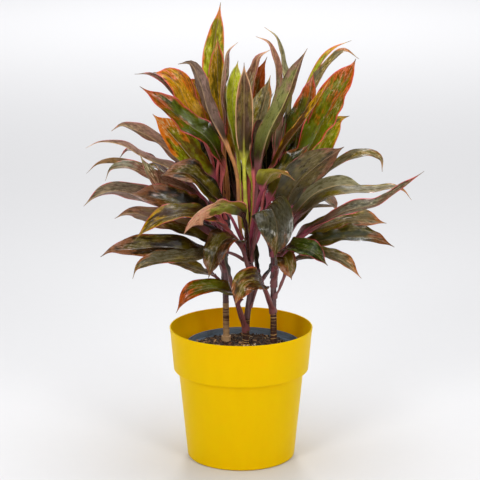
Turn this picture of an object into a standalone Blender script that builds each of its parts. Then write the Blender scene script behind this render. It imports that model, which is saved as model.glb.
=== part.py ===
"""Potted ti plant: three ringed canes in a collar planter, at real size in metres, +Z up.

The origin is the centre of the planter's underside. The canes stand in soil inside a nursery
pot, which stands loose inside the planter. Each leaf, petiole and blade, is one closed solid
that starts at its cane, and the leaves are settled so that they lie clear of one another.
"""
import math

import bmesh
import bpy
import numpy as np
from mathutils.bvhtree import BVHTree

CM = 0.01
MM = 0.001
GAP = 0.4 * MM

# Planter: outer radii and heights
POT_HEIGHT = 234 * MM
POT_WALL = 2.5 * MM
POT_FLOOR = 3.0 * MM
RIM_RADIUS = 125 * MM
COLLAR_TOP_RADIUS = 120.8 * MM
COLLAR_FOOT_RADIUS = 118 * MM
COLLAR_FOOT_HEIGHT = 158.5 * MM
FLARE_HEIGHT = 12 * MM
BODY_TOP_RADIUS = 109.6 * MM
BASE_RADIUS = 94.5 * MM
BASE_FILLET = 4 * MM
LIP_RADIUS = 1.4 * MM
POT_SEGMENTS = 72

# Nursery pot: stands on the planter's floor, a little to one side
NURSERY_CENTRE = (4 * MM, 0.0)
NURSERY_TOP = 203 * MM
NURSERY_RIM_RADIUS = 100.6 * MM
NURSERY_RIM_BAND = 12 * MM
NURSERY_WALL = 1.4 * MM
NURSERY_NECK_RADIUS = 97.5 * MM
NURSERY_BASE_RADIUS = 79 * MM
DRAIN_HOLES = 8
DRAIN_RADIUS = 5 * MM
DRAIN_CIRCLE = 58 * MM

# Soil
SOIL_LEVEL = 190 * MM
SOIL_MOUND = 8 * MM
SOIL_SEGMENTS = 40
SOIL_RINGS = 7

# Canes: radius, how deep they stand, and the route of each, in centimetres
CANE_RADIUS = 6.2 * MM
CANE_TIP_RADIUS = 4.6 * MM
CANE_SIDES = 12
CANE_ROOT = 135 * MM
CANE_STEPS = 13
CANES = {
    "left": ((-2.6, 3, 13.5), (-2.6, 3, 20), (-2.7, 3, 28), (-2.8, 3, 36), (-2.4, 2.8, 44.5)),
    "middle": ((0.8, 0, 13.5), (0.8, 0, 20), (1.1, 0, 25.5), (1.7, 0, 30.5), (1.5, 0, 36),
               (1, 0, 41.5)),
    "right": ((5.7, -1, 13.5), (5.7, -1, 20), (5.6, -1, 28), (5.6, -1, 34), (5.3, -0.8, 42)),
}

# Leaves
PETIOLE_SHARES = (0.18, 0.42)
PETIOLE_WIDTH = 8 * MM
PETIOLE_NECK_WIDTH = 5 * MM
PETIOLE_THICKNESS = 3.2 * MM
MIDRIB_THICKNESS = 1.6 * MM
LEAF_RINGS = 14
RING_FACES = 8
LEAF_FOLD = 24
PETIOLE_FOLD = 38
SETTLE_ROUNDS = 120
SETTLE_STEP = 1.2 * MM
SETTLE_LIMIT = 16 * MM
CLEARANCE = 0.5 * MM
AWAY_SHARE = 0.8

# One row a leaf, lowest first: the height on the cane where it starts and the direction it
# faces away from the cane (degrees, 0 is +X and 90 is +Y), the blade's width, its twist in
# degrees, and the route from neck to tip. Lengths are in centimetres.
LEAVES = {
    "left": (
        (30.5, 222, 3.4, 35, ((-4.5, 1.5, 32), (-7, -1, 33.5), (-10.5, -2, 35), (-13.5, -2, 35.5))),
        (31.6, 112, 4.0, 0, ((-5, 9, 37), (-8, 16, 40), (-10, 22, 38))),
        (33.6, 237, 5.0, 40, ((-5, -0.5, 36.5), (-8.5, -6, 38.5), (-13.5, -8, 39.5),
                              (-18.5, -10, 39.5), (-22, -11, 39.5), (-23.5, -11, 38.5))),
        (35.0, 213, 4.0, -45, ((-5.5, 1, 39.5), (-10.5, -2, 42), (-15.5, -3, 43.5),
                               (-19, -4, 44.5), (-21.5, -4, 43.5))),
        (35.8, 135, 4.2, 0, ((-8, 8, 43), (-14, 15, 48), (-19, 21, 48))),
        (36.4, 195, 4.4, -45, ((-6.5, 2, 41), (-11.5, 1, 44), (-16.5, 1, 46), (-21, 0, 47.5),
                               (-24.5, -1, 47), (-27, -1, 45))),
        (37.0, 222, 3.6, 55, ((-6.5, -0.5, 43), (-13, -6, 49), (-16, -7, 53), (-17, -7, 55.5))),
        (37.8, 180, 3.6, -30, ((-6.5, 3, 45), (-11.5, 3, 47.5), (-16, 2, 50), (-21, 1, 52),
                               (-24.5, 1, 52), (-26.5, 0, 50.5))),
        (38.0, 250, 5.4, 65, ((-4.5, -2, 43), (-8.5, -7, 46), (-12.5, -8, 47.5),
                              (-16.5, -9, 48.5), (-19, -9, 49))),
        (38.6, 205, 3.6, 25, ((-6, 1, 44.5), (-12, -3, 48), (-17, -4, 51.5), (-20, -4, 52.5),
                              (-22, -4, 52), (-23, -4, 50))),
        (39.2, 150, 3.4, -40, ((-6, 5, 46), (-11.5, 8, 49.5), (-17, 7, 52), (-21, 6, 54.5),
                               (-25, 5, 55), (-27, 5, 54))),
        (39.8, 112, 4.2, 0, ((-5, 9, 49), (-9, 19, 57), (-12, 26, 58))),
        (40.2, 160, 3.6, -55, ((-6, 4.5, 47.5), (-10.5, 6, 51.5), (-15, 5, 55.5), (-19, 5, 57.5),
                               (-21.5, 5, 58), (-22.5, 5, 57))),
        (41.0, 208, 5.2, 68, ((-4.5, 2, 48), (-8, 0, 52.5), (-11.5, -1, 57), (-15, -1, 61))),
        (41.8, 210, 4.6, 60, ((-4, 1, 49), (-5.5, -1, 54), (-10.5, -2, 60.5), (-15, -3, 64.5),
                              (-17, -3, 66))),
        (42.4, 165, 4.6, 25, ((-5, 3.5, 52), (-9, 4, 61), (-11.5, 3, 66), (-14, 3, 67.5),
                              (-15, 3, 67.5))),
        (43.2, 172, 3.6, 0, ((-4, 1.6, 56.5), (-3, 0.8, 68), (-2, 0, 72), (-0.5, 0, 73))),
        (43.8, 105, 3.8, 0, ((-3, 4, 54), (-5, 6, 67.5), (-3.5, 7, 79))),
    ),
    "middle": (
        (24.0, 247, 4.2, 45, ((-0.5, -3, 28), (-2, -7, 31.5), (-6, -9, 32.5), (-9, -10, 31.5),
                             (-11, -10, 28.5))),
        (33.6, 245, 4.8, 20, ((0, -4, 38.5), (-2.5, -9, 41), (-4.5, -11, 39), (-5.5, -12, 35))),
        (34.2, 89, 4.2, 0, ((1, 10, 44), (2, 19, 48), (3, 26, 44))),
        (34.8, 230, 4.4, 15, ((-2.5, -5, 38), (-7, -11, 39), (-12, -13, 38.5), (-16, -14, 38),
                              (-17.5, -14, 37), (-18, -14, 35.5))),
        (35.6, 258, 4.8, -15, ((0.8, -6, 43), (-0.5, -9.5, 46.6), (-3.5, -12, 47.9),
                             (-6.5, -14, 47.2), (-8.6, -15, 45.2), (-9.4, -15, 43.2))),
        (36.2, 289, 6.0, -30, ((3, -5, 43), (5, -10, 46.5), (6, -13, 43.5), (5.5, -14, 39))),
        (36.8, 228, 4.4, 28, ((-2.5, -5, 42), (-7, -10, 45.5), (-10.5, -12, 46), (-14, -13, 45),
                              (-16, -13, 43.5), (-17.5, -13, 42))),
        (37.6, 342, 4.6, -60, ((4.5, -1, 45.5), (7.5, -2, 51), (10, -2, 54), (11.5, -2, 56))),
        (38.0, 214, 4.6, 52, ((-2, -2.5, 44), (-5.5, -5, 48.5), (-8.5, -6, 51.5), (-11, -7, 52),
                              (-13.5, -7, 51.5))),
        (38.6, 285, 4.6, 0, ((2.5, -5, 45), (4, -9, 50.5), (5.5, -12, 53), (7.5, -14, 53),
                             (9, -14, 52))),
        (39.0, 352, 3.2, -18, ((4.5, -0.5, 48.5), (7.5, -1, 55.5), (11.5, -1, 61), (15, -1, 67))),
        (39.4, 205, 3.4, -20, ((-1, -2, 52), (-5.5, -4, 62), (-7, -5, 67.5), (-9.5, -5, 71),
                             (-10.5, -5, 70))),
        (39.8, 312, 4.4, 0, ((3, -2, 51), (4.5, -4, 58), (7.5, -4, 64), (9.5, -4, 69.5),
                               (11, -4, 72.5))),
        (40.0, 87, 3.4, 55, ((1.5, 4, 53), (1.5, 6, 62.5), (2.5, 6, 67.5), (3.5, 6, 70.5),
                            (5, 6, 71))),
        (40.6, 40, 4.6, -10, ((2, 1, 49), (3, 2, 58.5), (4.5, 3, 64.5), (5, 3, 67))),
        (40.8, 265, 3.2, 0, ((0.5, -2, 52.5), (0.5, -3, 62), (0.5, -3, 70))),
        (41.0, 140, 2.6, 18, ((-0.5, 1, 53.5), (-1.5, 2, 63), (-1, 2, 67.5), (-0.5, 3, 69.5))),
    ),
    "right": (
        (27.5, 248, 4.2, 60, ((4, -4.5, 31.5), (2.5, -9, 34), (0.5, -11, 34), (-1, -12, 30.5))),
        (30.0, 335, 4.0, -22, ((7.5, -2, 33), (9.5, -3, 36), (13.5, -4, 37), (17, -5, 36.5),
                             (20.5, -6, 33.5))),
        (32.6, 296, 4.2, -30, ((6.5, -4, 37), (9, -8, 39.5), (12, -10, 39), (14.5, -11, 37))),
        (33.4, 64, 4.2, 0, ((9, 7, 39), (14, 16, 43), (18, 22, 39))),
        (34.2, 339, 4.6, -25, ((9, -2.5, 37.5), (13.5, -4, 39.5), (18.5, -5, 40.5),
                               (22.5, -6, 40.5), (26, -6, 39))),
        (34.8, 327, 3.4, -32, ((9.5, -4, 39.5), (14, -6, 43), (18.5, -7, 45.5), (23, -8, 47),
                              (26.5, -8, 49.5), (28.5, -8, 51), (30.5, -8, 52.5))),
        (35.6, 12, 4.4, -40, ((9.5, 0.5, 39), (14.5, 1, 41), (19.5, 0, 42.5), (25, -1, 42))),
        (36.2, 0, 3.4, -12, ((8.5, -1, 41.5), (12, -1, 44.5), (17, -2, 47), (23, -2, 48),
                             (27, -3, 48.5), (29, -3, 46.5))),
        (36.8, 28, 4.0, -15, ((8.5, 1, 42), (13, 3, 46.5), (17, 2, 48), (21.5, 1, 48))),
        (37.4, 296, 5.4, 18, ((7, -4, 44), (9, -8, 50), (13, -9, 54), (17, -10, 57))),
        (37.8, 43, 3.2, 8, ((8.5, 3, 43), (13, 6, 48), (18, 6, 51.5), (21.5, 5, 53),
                              (24, 5, 52.5), (24.5, 4, 50))),
        (37.9, 85, 4.2, 0, ((6.5, 8, 43.5), (10, 18, 50), (13, 26, 51))),
        (38.7, 45, 5.0, -40, ((8.5, 3.5, 45), (13, 9, 52), (16, 9, 57), (18, 9, 59), (19, 9, 59))),
        (39.9, 62, 3.4, 35, ((8, 5.5, 49.5), (11.5, 9, 61.5), (14.5, 9, 67), (18, 9, 70.5),
                            (20.5, 9, 69))),
        (38.9, 88, 3.2, 50, ((6.5, 8, 48.5), (11.5, 15, 61.5), (14, 15, 67), (15.5, 15, 69.5),
                            (19.5, 15, 71.5))),
        (41.2, 355, 5.0, -50, ((8, -0.5, 49), (12, 2, 56), (16, 2, 63), (18.5, 2, 67.5),
                              (19.5, 2, 70))),
        (40.5, 95, 3.2, -60, ((6.5, 4, 50), (8, 6, 62.5), (7, 6, 68.5), (6.5, 6, 72.5), (4, 5, 75))),
        (40.7, 32, 4.6, -20, ((7.5, 2, 48), (9.5, 3.5, 55.5), (11.5, 4, 62), (12.5, 5, 67.5))),
        (41.6, 125, 3.4, -30, ((5.5, 2, 51), (6, 2.5, 62), (6, 2, 68), (4.5, 1, 73), (2.5, 0, 74))),
    ),
}

# Materials: colour, roughness, metallic
FINISHES = {
    "cachepot": ((0.83, 0.50, 0.0), 0.35, 0.0),
    "nursery_pot": ((0.06, 0.08, 0.10), 0.55, 0.0),
    "soil": ((0.09, 0.05, 0.03), 0.95, 0.0),
    "stem": ((0.22, 0.14, 0.10), 0.8, 0.0),
    "leaf": ((0.12, 0.10, 0.05), 0.4, 0.0),
}


def clear_scene():
    """Remove every object of the scene that is open."""
    for item in list(bpy.data.objects):
        bpy.data.objects.remove(item, do_unlink=True)


def finish(name):
    """The node's own Principled material, from the finish its name starts with."""
    colour, roughness, metallic = FINISHES[name if name in FINISHES else name.split("_")[0]]
    material = bpy.data.materials.new(name)
    material.use_nodes = True
    shader = material.node_tree.nodes["Principled BSDF"]
    shader.inputs["Base Color"].default_value = (*colour, 1.0)
    shader.inputs["Roughness"].default_value = roughness
    shader.inputs["Metallic"].default_value = metallic
    return material


def add_node(name, points, faces):
    """One named object from points and faces, smooth, with its own material."""
    mesh = bpy.data.meshes.new(name)
    mesh.from_pydata([tuple(map(float, point)) for point in points], [], faces)
    mesh.validate()
    mesh.shade_smooth()
    mesh.set_sharp_from_angle(angle=math.radians(40))
    mesh.materials.append(finish(name))
    item = bpy.data.objects.new(name, mesh)
    bpy.context.collection.objects.link(item)
    return item


def arc(centre, radius, start, end, steps):
    """Points (radius, height) on a quarter of a round, angles in degrees."""
    turn = [math.radians(start + (end - start) * step / steps) for step in range(steps + 1)]
    return [(centre[0] + radius * math.cos(a), centre[1] + radius * math.sin(a)) for a in turn]


def turned(name, profile, segments, centre=(0.0, 0.0)):
    """A turned solid: the profile runs from the axis, up the outside and back to the axis."""
    points = []
    faces = []
    rings = profile[1:-1]
    for radius, height in rings:
        for step in range(segments):
            turn = 2 * math.pi * step / segments
            points.append((centre[0] + radius * math.cos(turn),
                           centre[1] + radius * math.sin(turn), height))
    for ring in range(len(rings) - 1):
        for step in range(segments):
            after = (step + 1) % segments
            low, high = ring * segments, (ring + 1) * segments
            faces.append((low + step, low + after, high + after, high + step))
    start, end = len(points), len(points) + 1
    points += [(*centre, profile[0][1]), (*centre, profile[-1][1])]
    top = (len(rings) - 1) * segments
    for step in range(segments):
        after = (step + 1) % segments
        faces.append((start, after, step))
        faces.append((end, top + step, top + after))
    return add_node(name, points, faces)


def cut(item, cutter):
    """Take the cutter's shape away from the item with a Boolean."""
    cutter.hide_render = True
    cutter.display_type = "WIRE"
    modifier = item.modifiers.new("cut", "BOOLEAN")
    modifier.operation = "DIFFERENCE"
    modifier.object = cutter


def cylinders(name, places, radius, low, high, sides):
    """One cutter of upright cylinders at the places (x, y)."""
    shape = bmesh.new()
    for x, y in places:
        made = bmesh.ops.create_cone(shape, cap_ends=True, segments=sides, radius1=radius,
                                     radius2=radius, depth=high - low)
        bmesh.ops.translate(shape, verts=made["verts"], vec=(x, y, (low + high) / 2))
    mesh = bpy.data.meshes.new(name)
    shape.to_mesh(mesh)
    shape.free()
    item = bpy.data.objects.new(name, mesh)
    bpy.context.collection.objects.link(item)
    return item


def make_cachepot():
    """The planter: tapered body, a step out to the collar, and a flared, rounded lip."""
    foot = COLLAR_FOOT_HEIGHT
    flare = POT_HEIGHT - FLARE_HEIGHT
    lip_outer = (RIM_RADIUS - LIP_RADIUS, POT_HEIGHT - LIP_RADIUS)
    outside = [(0.0, 0.0)]
    outside += arc((BASE_RADIUS - BASE_FILLET, BASE_FILLET), BASE_FILLET, -90, -4, 4)
    outside += [(BODY_TOP_RADIUS, foot), (COLLAR_FOOT_RADIUS - 0.6 * MM, foot),
                (COLLAR_FOOT_RADIUS, foot + 0.8 * MM), (COLLAR_TOP_RADIUS, flare)]
    outside += arc(lip_outer, LIP_RADIUS, -10, 190, 6)
    inside = [(COLLAR_TOP_RADIUS - POT_WALL, flare),
              (COLLAR_FOOT_RADIUS - POT_WALL, foot),
              (BODY_TOP_RADIUS - POT_WALL, foot - POT_WALL)]
    inside += arc((BASE_RADIUS - POT_WALL - BASE_FILLET, POT_FLOOR + BASE_FILLET), BASE_FILLET,
                  -4, -90, 3)
    return turned("cachepot", outside + inside + [(0.0, POT_FLOOR)], POT_SEGMENTS)


def make_nursery_pot():
    """The plant's own pot: thin tapered wall, a rim band, and drain holes in its floor."""
    floor = POT_FLOOR + GAP
    band = NURSERY_TOP - NURSERY_RIM_BAND
    outside = [(0.0, floor), (NURSERY_BASE_RADIUS, floor), (NURSERY_NECK_RADIUS, band),
               (NURSERY_RIM_RADIUS, band + 1 * MM), (NURSERY_RIM_RADIUS, NURSERY_TOP)]
    inside = [(radius - NURSERY_WALL, height) for radius, height in reversed(outside[1:])]
    inside[-1] = (NURSERY_BASE_RADIUS - NURSERY_WALL, floor + NURSERY_WALL)
    pot = turned("nursery_pot", outside + inside + [(0.0, floor + NURSERY_WALL)], 60,
                 NURSERY_CENTRE)
    places = []
    for hole in range(DRAIN_HOLES):
        turn = 2 * math.pi * hole / DRAIN_HOLES
        places.append((NURSERY_CENTRE[0] + DRAIN_CIRCLE * math.cos(turn),
                       NURSERY_CENTRE[1] + DRAIN_CIRCLE * math.sin(turn)))
    cut(pot, cylinders("drain_cutter", places, DRAIN_RADIUS, floor - MM,
                       floor + NURSERY_WALL + MM, 12))
    return pot


def soil_height(x, y):
    """Height of the soil at a place: a low mound left of the middle, with small lumps."""
    away = math.hypot(x + 0.015, y + 0.01) / 0.075
    lumps = math.sin(x * 90 + 1) * math.cos(y * 75) + 0.6 * math.sin(x * 210 + y * 160)
    return SOIL_LEVEL + SOIL_MOUND * math.exp(-away * away) + 1.2 * MM * lumps


def make_soil():
    """The soil fills the nursery pot, with a blind hole for each cane."""
    floor = POT_FLOOR + GAP + NURSERY_WALL
    slope = (NURSERY_NECK_RADIUS - NURSERY_BASE_RADIUS) / (NURSERY_TOP - floor)
    low_radius = NURSERY_BASE_RADIUS - NURSERY_WALL - 2 * GAP
    top_radius = low_radius + slope * (SOIL_LEVEL - 6 * MM - floor)
    points = []
    faces = []
    turns = [2 * math.pi * step / SOIL_SEGMENTS for step in range(SOIL_SEGMENTS)]
    for turn in turns:
        points.append((NURSERY_CENTRE[0] + low_radius * math.cos(turn),
                       NURSERY_CENTRE[1] + low_radius * math.sin(turn), floor + GAP))
    for ring in range(SOIL_RINGS):
        radius = top_radius * (1 - ring / SOIL_RINGS)
        for turn in turns:
            x = NURSERY_CENTRE[0] + radius * math.cos(turn)
            y = NURSERY_CENTRE[1] + radius * math.sin(turn)
            points.append((x, y, soil_height(x, y) if ring else SOIL_LEVEL - 6 * MM))
    for ring in range(SOIL_RINGS):
        for step in range(SOIL_SEGMENTS):
            after = (step + 1) % SOIL_SEGMENTS
            low, high = ring * SOIL_SEGMENTS, (ring + 1) * SOIL_SEGMENTS
            faces.append((low + step, low + after, high + after, high + step))
    base, crest = len(points), len(points) + 1
    points.append((*NURSERY_CENTRE, floor + GAP))
    points.append((*NURSERY_CENTRE, soil_height(*NURSERY_CENTRE)))
    inner = SOIL_RINGS * SOIL_SEGMENTS
    for step in range(SOIL_SEGMENTS):
        after = (step + 1) % SOIL_SEGMENTS
        faces.append((base, after, step))
        faces.append((crest, inner + step, inner + after))
    soil = add_node("soil", points, faces)
    places = [(route[0][0] * CM, route[0][1] * CM) for route in CANES.values()]
    cut(soil, cylinders("cane_cutter", places, CANE_RADIUS + 2 * GAP, CANE_ROOT - GAP,
                        SOIL_LEVEL + 0.05, 16))
    return soil


def unit(vector):
    """The vector at length one."""
    return vector / np.linalg.norm(vector)


def smooth_route(points, first, count):
    """Evenly spaced points on a smooth curve through the points, leaving along first."""
    points = [np.array(point, float) for point in points]
    before = points[0] - first * np.linalg.norm(points[1] - points[0])
    points = [before] + points + [2 * points[-1] - points[-2]]
    fine = []
    for a, b, c, d in zip(points, points[1:], points[2:], points[3:]):
        knots = [0.0]
        for start, end in ((a, b), (b, c), (c, d)):
            knots.append(knots[-1] + math.sqrt(np.linalg.norm(end - start)))
        for t in np.linspace(knots[1], knots[2], 12, endpoint=False):
            ab = (a * (knots[1] - t) + b * (t - knots[0])) / (knots[1] - knots[0])
            bc = (b * (knots[2] - t) + c * (t - knots[1])) / (knots[2] - knots[1])
            cd = (c * (knots[3] - t) + d * (t - knots[2])) / (knots[3] - knots[2])
            abc = (ab * (knots[2] - t) + bc * (t - knots[0])) / (knots[2] - knots[0])
            bcd = (bc * (knots[3] - t) + cd * (t - knots[1])) / (knots[3] - knots[1])
            fine.append((abc * (knots[2] - t) + bcd * (t - knots[1])) / (knots[2] - knots[1]))
    fine = np.array(fine + [points[-2]])
    along = np.concatenate([[0.0], np.cumsum(np.linalg.norm(np.diff(fine, axis=0), axis=1))])
    places = np.linspace(0.0, along[-1], count)
    return np.stack([np.interp(places, along, fine[:, axis]) for axis in range(3)], axis=1)


def frames(route, normal):
    """Tangent, side and normal at each point, carried along the route without turning."""
    tangents = np.gradient(route, axis=0)
    out = []
    for tangent in tangents:
        tangent = unit(tangent)
        normal = unit(normal - tangent * np.dot(normal, tangent))
        out.append((tangent, np.cross(tangent, normal), normal))
    return out


def cane_route(side):
    """The middle line of a cane, in metres."""
    return smooth_route(np.array(CANES[side]) * CM, np.array([0.0, 0.0, 1.0]), CANE_STEPS)


def make_cane(side):
    """A cane: a tube along its route that thins a little to a rounded tip."""
    route = cane_route(side)
    points = []
    faces = []
    for step, (centre, (_, across, normal)) in enumerate(zip(route, frames(
            route, np.array([0.0, 1.0, 0.0])))):
        share = step / (len(route) - 1)
        radius = CANE_RADIUS + (CANE_TIP_RADIUS - CANE_RADIUS) * share
        if step == len(route) - 1:
            radius *= 0.6
        for corner in range(CANE_SIDES):
            turn = 2 * math.pi * corner / CANE_SIDES
            points.append(centre + radius * (math.cos(turn) * across + math.sin(turn) * normal))
    last = (len(route) - 1) * CANE_SIDES
    for ring in range(len(route) - 1):
        for corner in range(CANE_SIDES):
            after = (corner + 1) % CANE_SIDES
            low, high = ring * CANE_SIDES, (ring + 1) * CANE_SIDES
            faces.append((low + after, low + corner, high + corner, high + after))
    faces.append(tuple(range(CANE_SIDES)))
    faces.append(tuple(last + corner for corner in reversed(range(CANE_SIDES))))
    return add_node(f"stem_{side}", points, faces)


def leaf_half_width(share, neck, width):
    """Half the leaf's width at a share of its length: a petiole, then a lance-shaped blade."""
    blade = (share - neck) / (1 - neck)
    petiole = max(0.0, neck - share) / neck
    stalk = PETIOLE_NECK_WIDTH + (PETIOLE_WIDTH - PETIOLE_NECK_WIDTH) * petiole ** 2
    if blade <= 0:
        return stalk / 2
    spread = blade ** 0.75 * (1 - blade) / (0.43 ** 0.75 * 0.57)
    return max(spread * width, stalk * (1 - blade) ** 3) / 2


class Leaf:
    """A leaf's rings: their centres, frames, half widths, half thicknesses and folds."""

    def __init__(self, side, height, facing, width, twist, route):
        cane = cane_route(side)
        axis = np.array([np.interp(height * CM, cane[:, 2], cane[:, i]) for i in range(3)])
        turn = math.radians(facing)
        outward = np.array([math.cos(turn), math.sin(turn), 0.0])
        start = axis + outward * (CANE_RADIUS + PETIOLE_THICKNESS)
        points = [start] + [np.array(point) * CM for point in route]
        leave = unit(outward * 0.7 + np.array([0.0, 0.0, 1.0]))
        self.centres = smooth_route(points, leave, LEAF_RINGS)
        self.routed = self.centres.copy()
        self.shares = np.linspace(0.0, 1.0, LEAF_RINGS)
        self.width = width * CM
        petiole = np.linalg.norm(points[1] - points[0])
        spans = np.linalg.norm(np.diff(points, axis=0), axis=1)
        self.neck = float(np.clip(petiole / spans.sum(), *PETIOLE_SHARES))
        self.frames = []
        for share, (tangent, across, normal) in zip(self.shares, frames(self.centres, -outward)):
            roll = math.radians(twist) * min(1.0, share / 0.5)
            turned_across = math.cos(roll) * across + math.sin(roll) * normal
            self.frames.append((tangent, turned_across, np.cross(turned_across, tangent)))

    def ring(self, index):
        """Four points of a ring: left edge, top of the midrib, right edge, under the midrib."""
        share = self.shares[index]
        _, across, normal = self.frames[index]
        half = leaf_half_width(share, self.neck, self.width)
        blend = min(1.0, share / self.neck)
        fold = math.radians(PETIOLE_FOLD + (LEAF_FOLD - PETIOLE_FOLD) * blend)
        thick = PETIOLE_THICKNESS + (MIDRIB_THICKNESS - PETIOLE_THICKNESS) * blend
        reach = half * math.cos(fold) * across
        rise = half * math.sin(fold) * normal
        centre = self.centres[index]
        return [centre - reach + rise, centre + normal * thick * 0.35,
                centre + reach + rise, centre - normal * thick * 0.65]

    def mesh(self):
        """Points and triangles of the closed solid; triangle // RING_FACES is its lower ring.

        Above and below, a half of the blade is split along the same diagonal, from its edge
        to the next ring's middle, so that the two sides of a twisted blade never cross.
        """
        points = []
        for index in range(LEAF_RINGS - 1):
            points += self.ring(index)
        tip = len(points)
        points.append(self.centres[-1])
        faces = []
        for low in range(0, tip - 4, 4):
            left, top, right, keel = range(low, low + 4)
            faces += [(left, top, top + 4), (left, top + 4, left + 4),
                      (top, right, top + 4), (right, right + 4, top + 4),
                      (right, keel, keel + 4), (right, keel + 4, right + 4),
                      (keel, left, keel + 4), (left, left + 4, keel + 4)]
        for corner in range(4):
            faces.append((tip - 4 + corner, tip - 4 + (corner + 1) % 4, tip))
        faces += [(2, 1, 0), (3, 2, 0)]
        return points, faces


def triangles(faces):
    """Each face as triangles, with the face that each came from."""
    split = []
    source = []
    for index, face in enumerate(faces):
        for corner in range(1, len(face) - 1):
            split.append((face[0], face[corner], face[corner + 1]))
            source.append(index)
    return split, source


def solid_tree(points, faces):
    """A search tree of a solid's triangles, and the face of each."""
    split, source = triangles(faces)
    return BVHTree.FromPolygons([tuple(point) for point in points], split,
                                epsilon=CLEARANCE), source


def push(leaf, ring, step):
    """Move a leaf's centres near a ring, less and less away from it; its base stays."""
    for index in range(1, LEAF_RINGS):
        hold = min(1.0, index / 4)
        moved = leaf.centres[index] + step * hold * math.exp(-((index - ring) / 2.0) ** 2)
        if np.linalg.norm(moved - leaf.routed[index]) < SETTLE_LIMIT:
            leaf.centres[index] = moved


def settle(leaves, obstacles):
    """Ease apart leaves that cross, along their normals, until all lie clear."""
    fixed = {}
    for name, item in obstacles.items():
        points = [np.array(vertex.co) for vertex in item.data.vertices]
        fixed[name] = solid_tree(points, [tuple(face.vertices) for face in item.data.polygons])
    names = list(leaves)
    for _ in range(SETTLE_ROUNDS):
        trees = {name: solid_tree(*leaves[name].mesh()) for name in names}
        crossing = 0
        for place, name in enumerate(names):
            for other in names[place + 1:]:
                hits = trees[name][0].overlap(trees[other][0])
                if not hits:
                    continue
                crossing += 1
                first, second = leaves[name], leaves[other]
                rings = {(min(trees[name][1][a] // RING_FACES, LEAF_RINGS - 1),
                          min(trees[other][1][b] // RING_FACES, LEAF_RINGS - 1))
                         for a, b in hits}
                low = round(sum(pair[0] for pair in rings) / len(rings))
                high = round(sum(pair[1] for pair in rings) / len(rings))
                away = first.centres[low] - second.centres[high]
                normal = first.frames[low][2]
                mate = second.frames[high][2]
                normal = unit(normal + (mate if np.dot(normal, mate) > 0 else -mate))
                if np.dot(away, normal) < 0:
                    normal = -normal
                normal = unit(normal + unit(away) * AWAY_SHARE)
                push(first, low, normal * SETTLE_STEP)
                push(second, high, -normal * SETTLE_STEP)
            for static, (tree, _) in fixed.items():
                hits = trees[name][0].overlap(tree)
                if not hits:
                    continue
                crossing += 1
                leaf = leaves[name]
                ring = round(sum(trees[name][1][a] // RING_FACES for a, _ in hits) / len(hits))
                ring = max(1, min(ring, LEAF_RINGS - 1))
                if static.startswith("stem"):
                    cane = cane_route(static.split("_")[1])
                    height = leaf.centres[ring][2]
                    axis = np.array([np.interp(height, cane[:, 2], cane[:, i])
                                     for i in range(3)])
                    away = leaf.centres[ring] - axis
                    away[2] = 0.0
                    push(leaf, ring, unit(away) * SETTLE_STEP)
                else:
                    push(leaf, ring, np.array([0.0, 0.0, SETTLE_STEP]))
        if not crossing:
            break
    return crossing


def leaf_rows():
    """Every leaf by its node's name."""
    leaves = {}
    for side, rows in LEAVES.items():
        for number, (height, facing, width, twist, route) in enumerate(rows, start=1):
            leaves[f"leaf_{side}_{number:02d}"] = Leaf(side, height, facing, width, twist, route)
    return leaves


def main():
    clear_scene()
    pots = {"cachepot": make_cachepot(), "nursery_pot": make_nursery_pot(), "soil": make_soil()}
    obstacles = dict(pots)
    for side in CANES:
        obstacles[f"stem_{side}"] = make_cane(side)
    leaves = leaf_rows()
    left = settle(leaves, obstacles)
    if left:
        print(f"leaves still crossing: {left}")
    for name, leaf in leaves.items():
        add_node(name, *leaf.mesh())


if __name__ == "__main__":
    main()
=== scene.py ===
"""Potted ti plant: the looks of its leaves, canes, soil and pots, and its studio.

Every leaf follows the rings of its plain solid in the frame. It gets a channelled petiole that
clasps the cane, a folded, gently waved blade with a midrib, and a finish of its own. A few
young inner leaves that the frame doesn't hold are added along routes of their own.
"""
import functools
import math
import random

import bpy
import numpy as np
from bpy.props import FloatProperty, FloatVectorProperty, IntProperty, PointerProperty
from mathutils import Euler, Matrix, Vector, noise


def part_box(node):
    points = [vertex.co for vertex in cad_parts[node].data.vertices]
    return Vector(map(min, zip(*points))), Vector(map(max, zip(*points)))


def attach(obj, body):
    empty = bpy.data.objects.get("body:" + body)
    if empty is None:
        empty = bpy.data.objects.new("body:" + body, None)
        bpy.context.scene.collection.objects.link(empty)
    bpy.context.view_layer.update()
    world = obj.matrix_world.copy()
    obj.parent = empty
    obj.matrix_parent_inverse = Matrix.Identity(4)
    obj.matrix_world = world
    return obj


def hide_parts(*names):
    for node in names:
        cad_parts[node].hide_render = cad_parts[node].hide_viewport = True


bl_info = {
    "name": "Potted ti plant",
    "version": (1, 0, 0),
    "blender": (4, 5, 0),
    "location": "View3D > Sidebar > Ti plant",
    "description": "Models a potted ti plant and its studio around the packed frame",
    "category": "Object",
}

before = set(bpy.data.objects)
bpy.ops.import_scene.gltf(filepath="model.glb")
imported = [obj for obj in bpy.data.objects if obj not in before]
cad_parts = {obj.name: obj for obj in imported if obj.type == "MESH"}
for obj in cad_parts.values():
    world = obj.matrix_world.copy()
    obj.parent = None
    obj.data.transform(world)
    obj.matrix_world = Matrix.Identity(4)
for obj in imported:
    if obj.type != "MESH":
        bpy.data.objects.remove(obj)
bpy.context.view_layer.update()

CM = 0.01
MM = 0.001

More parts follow.
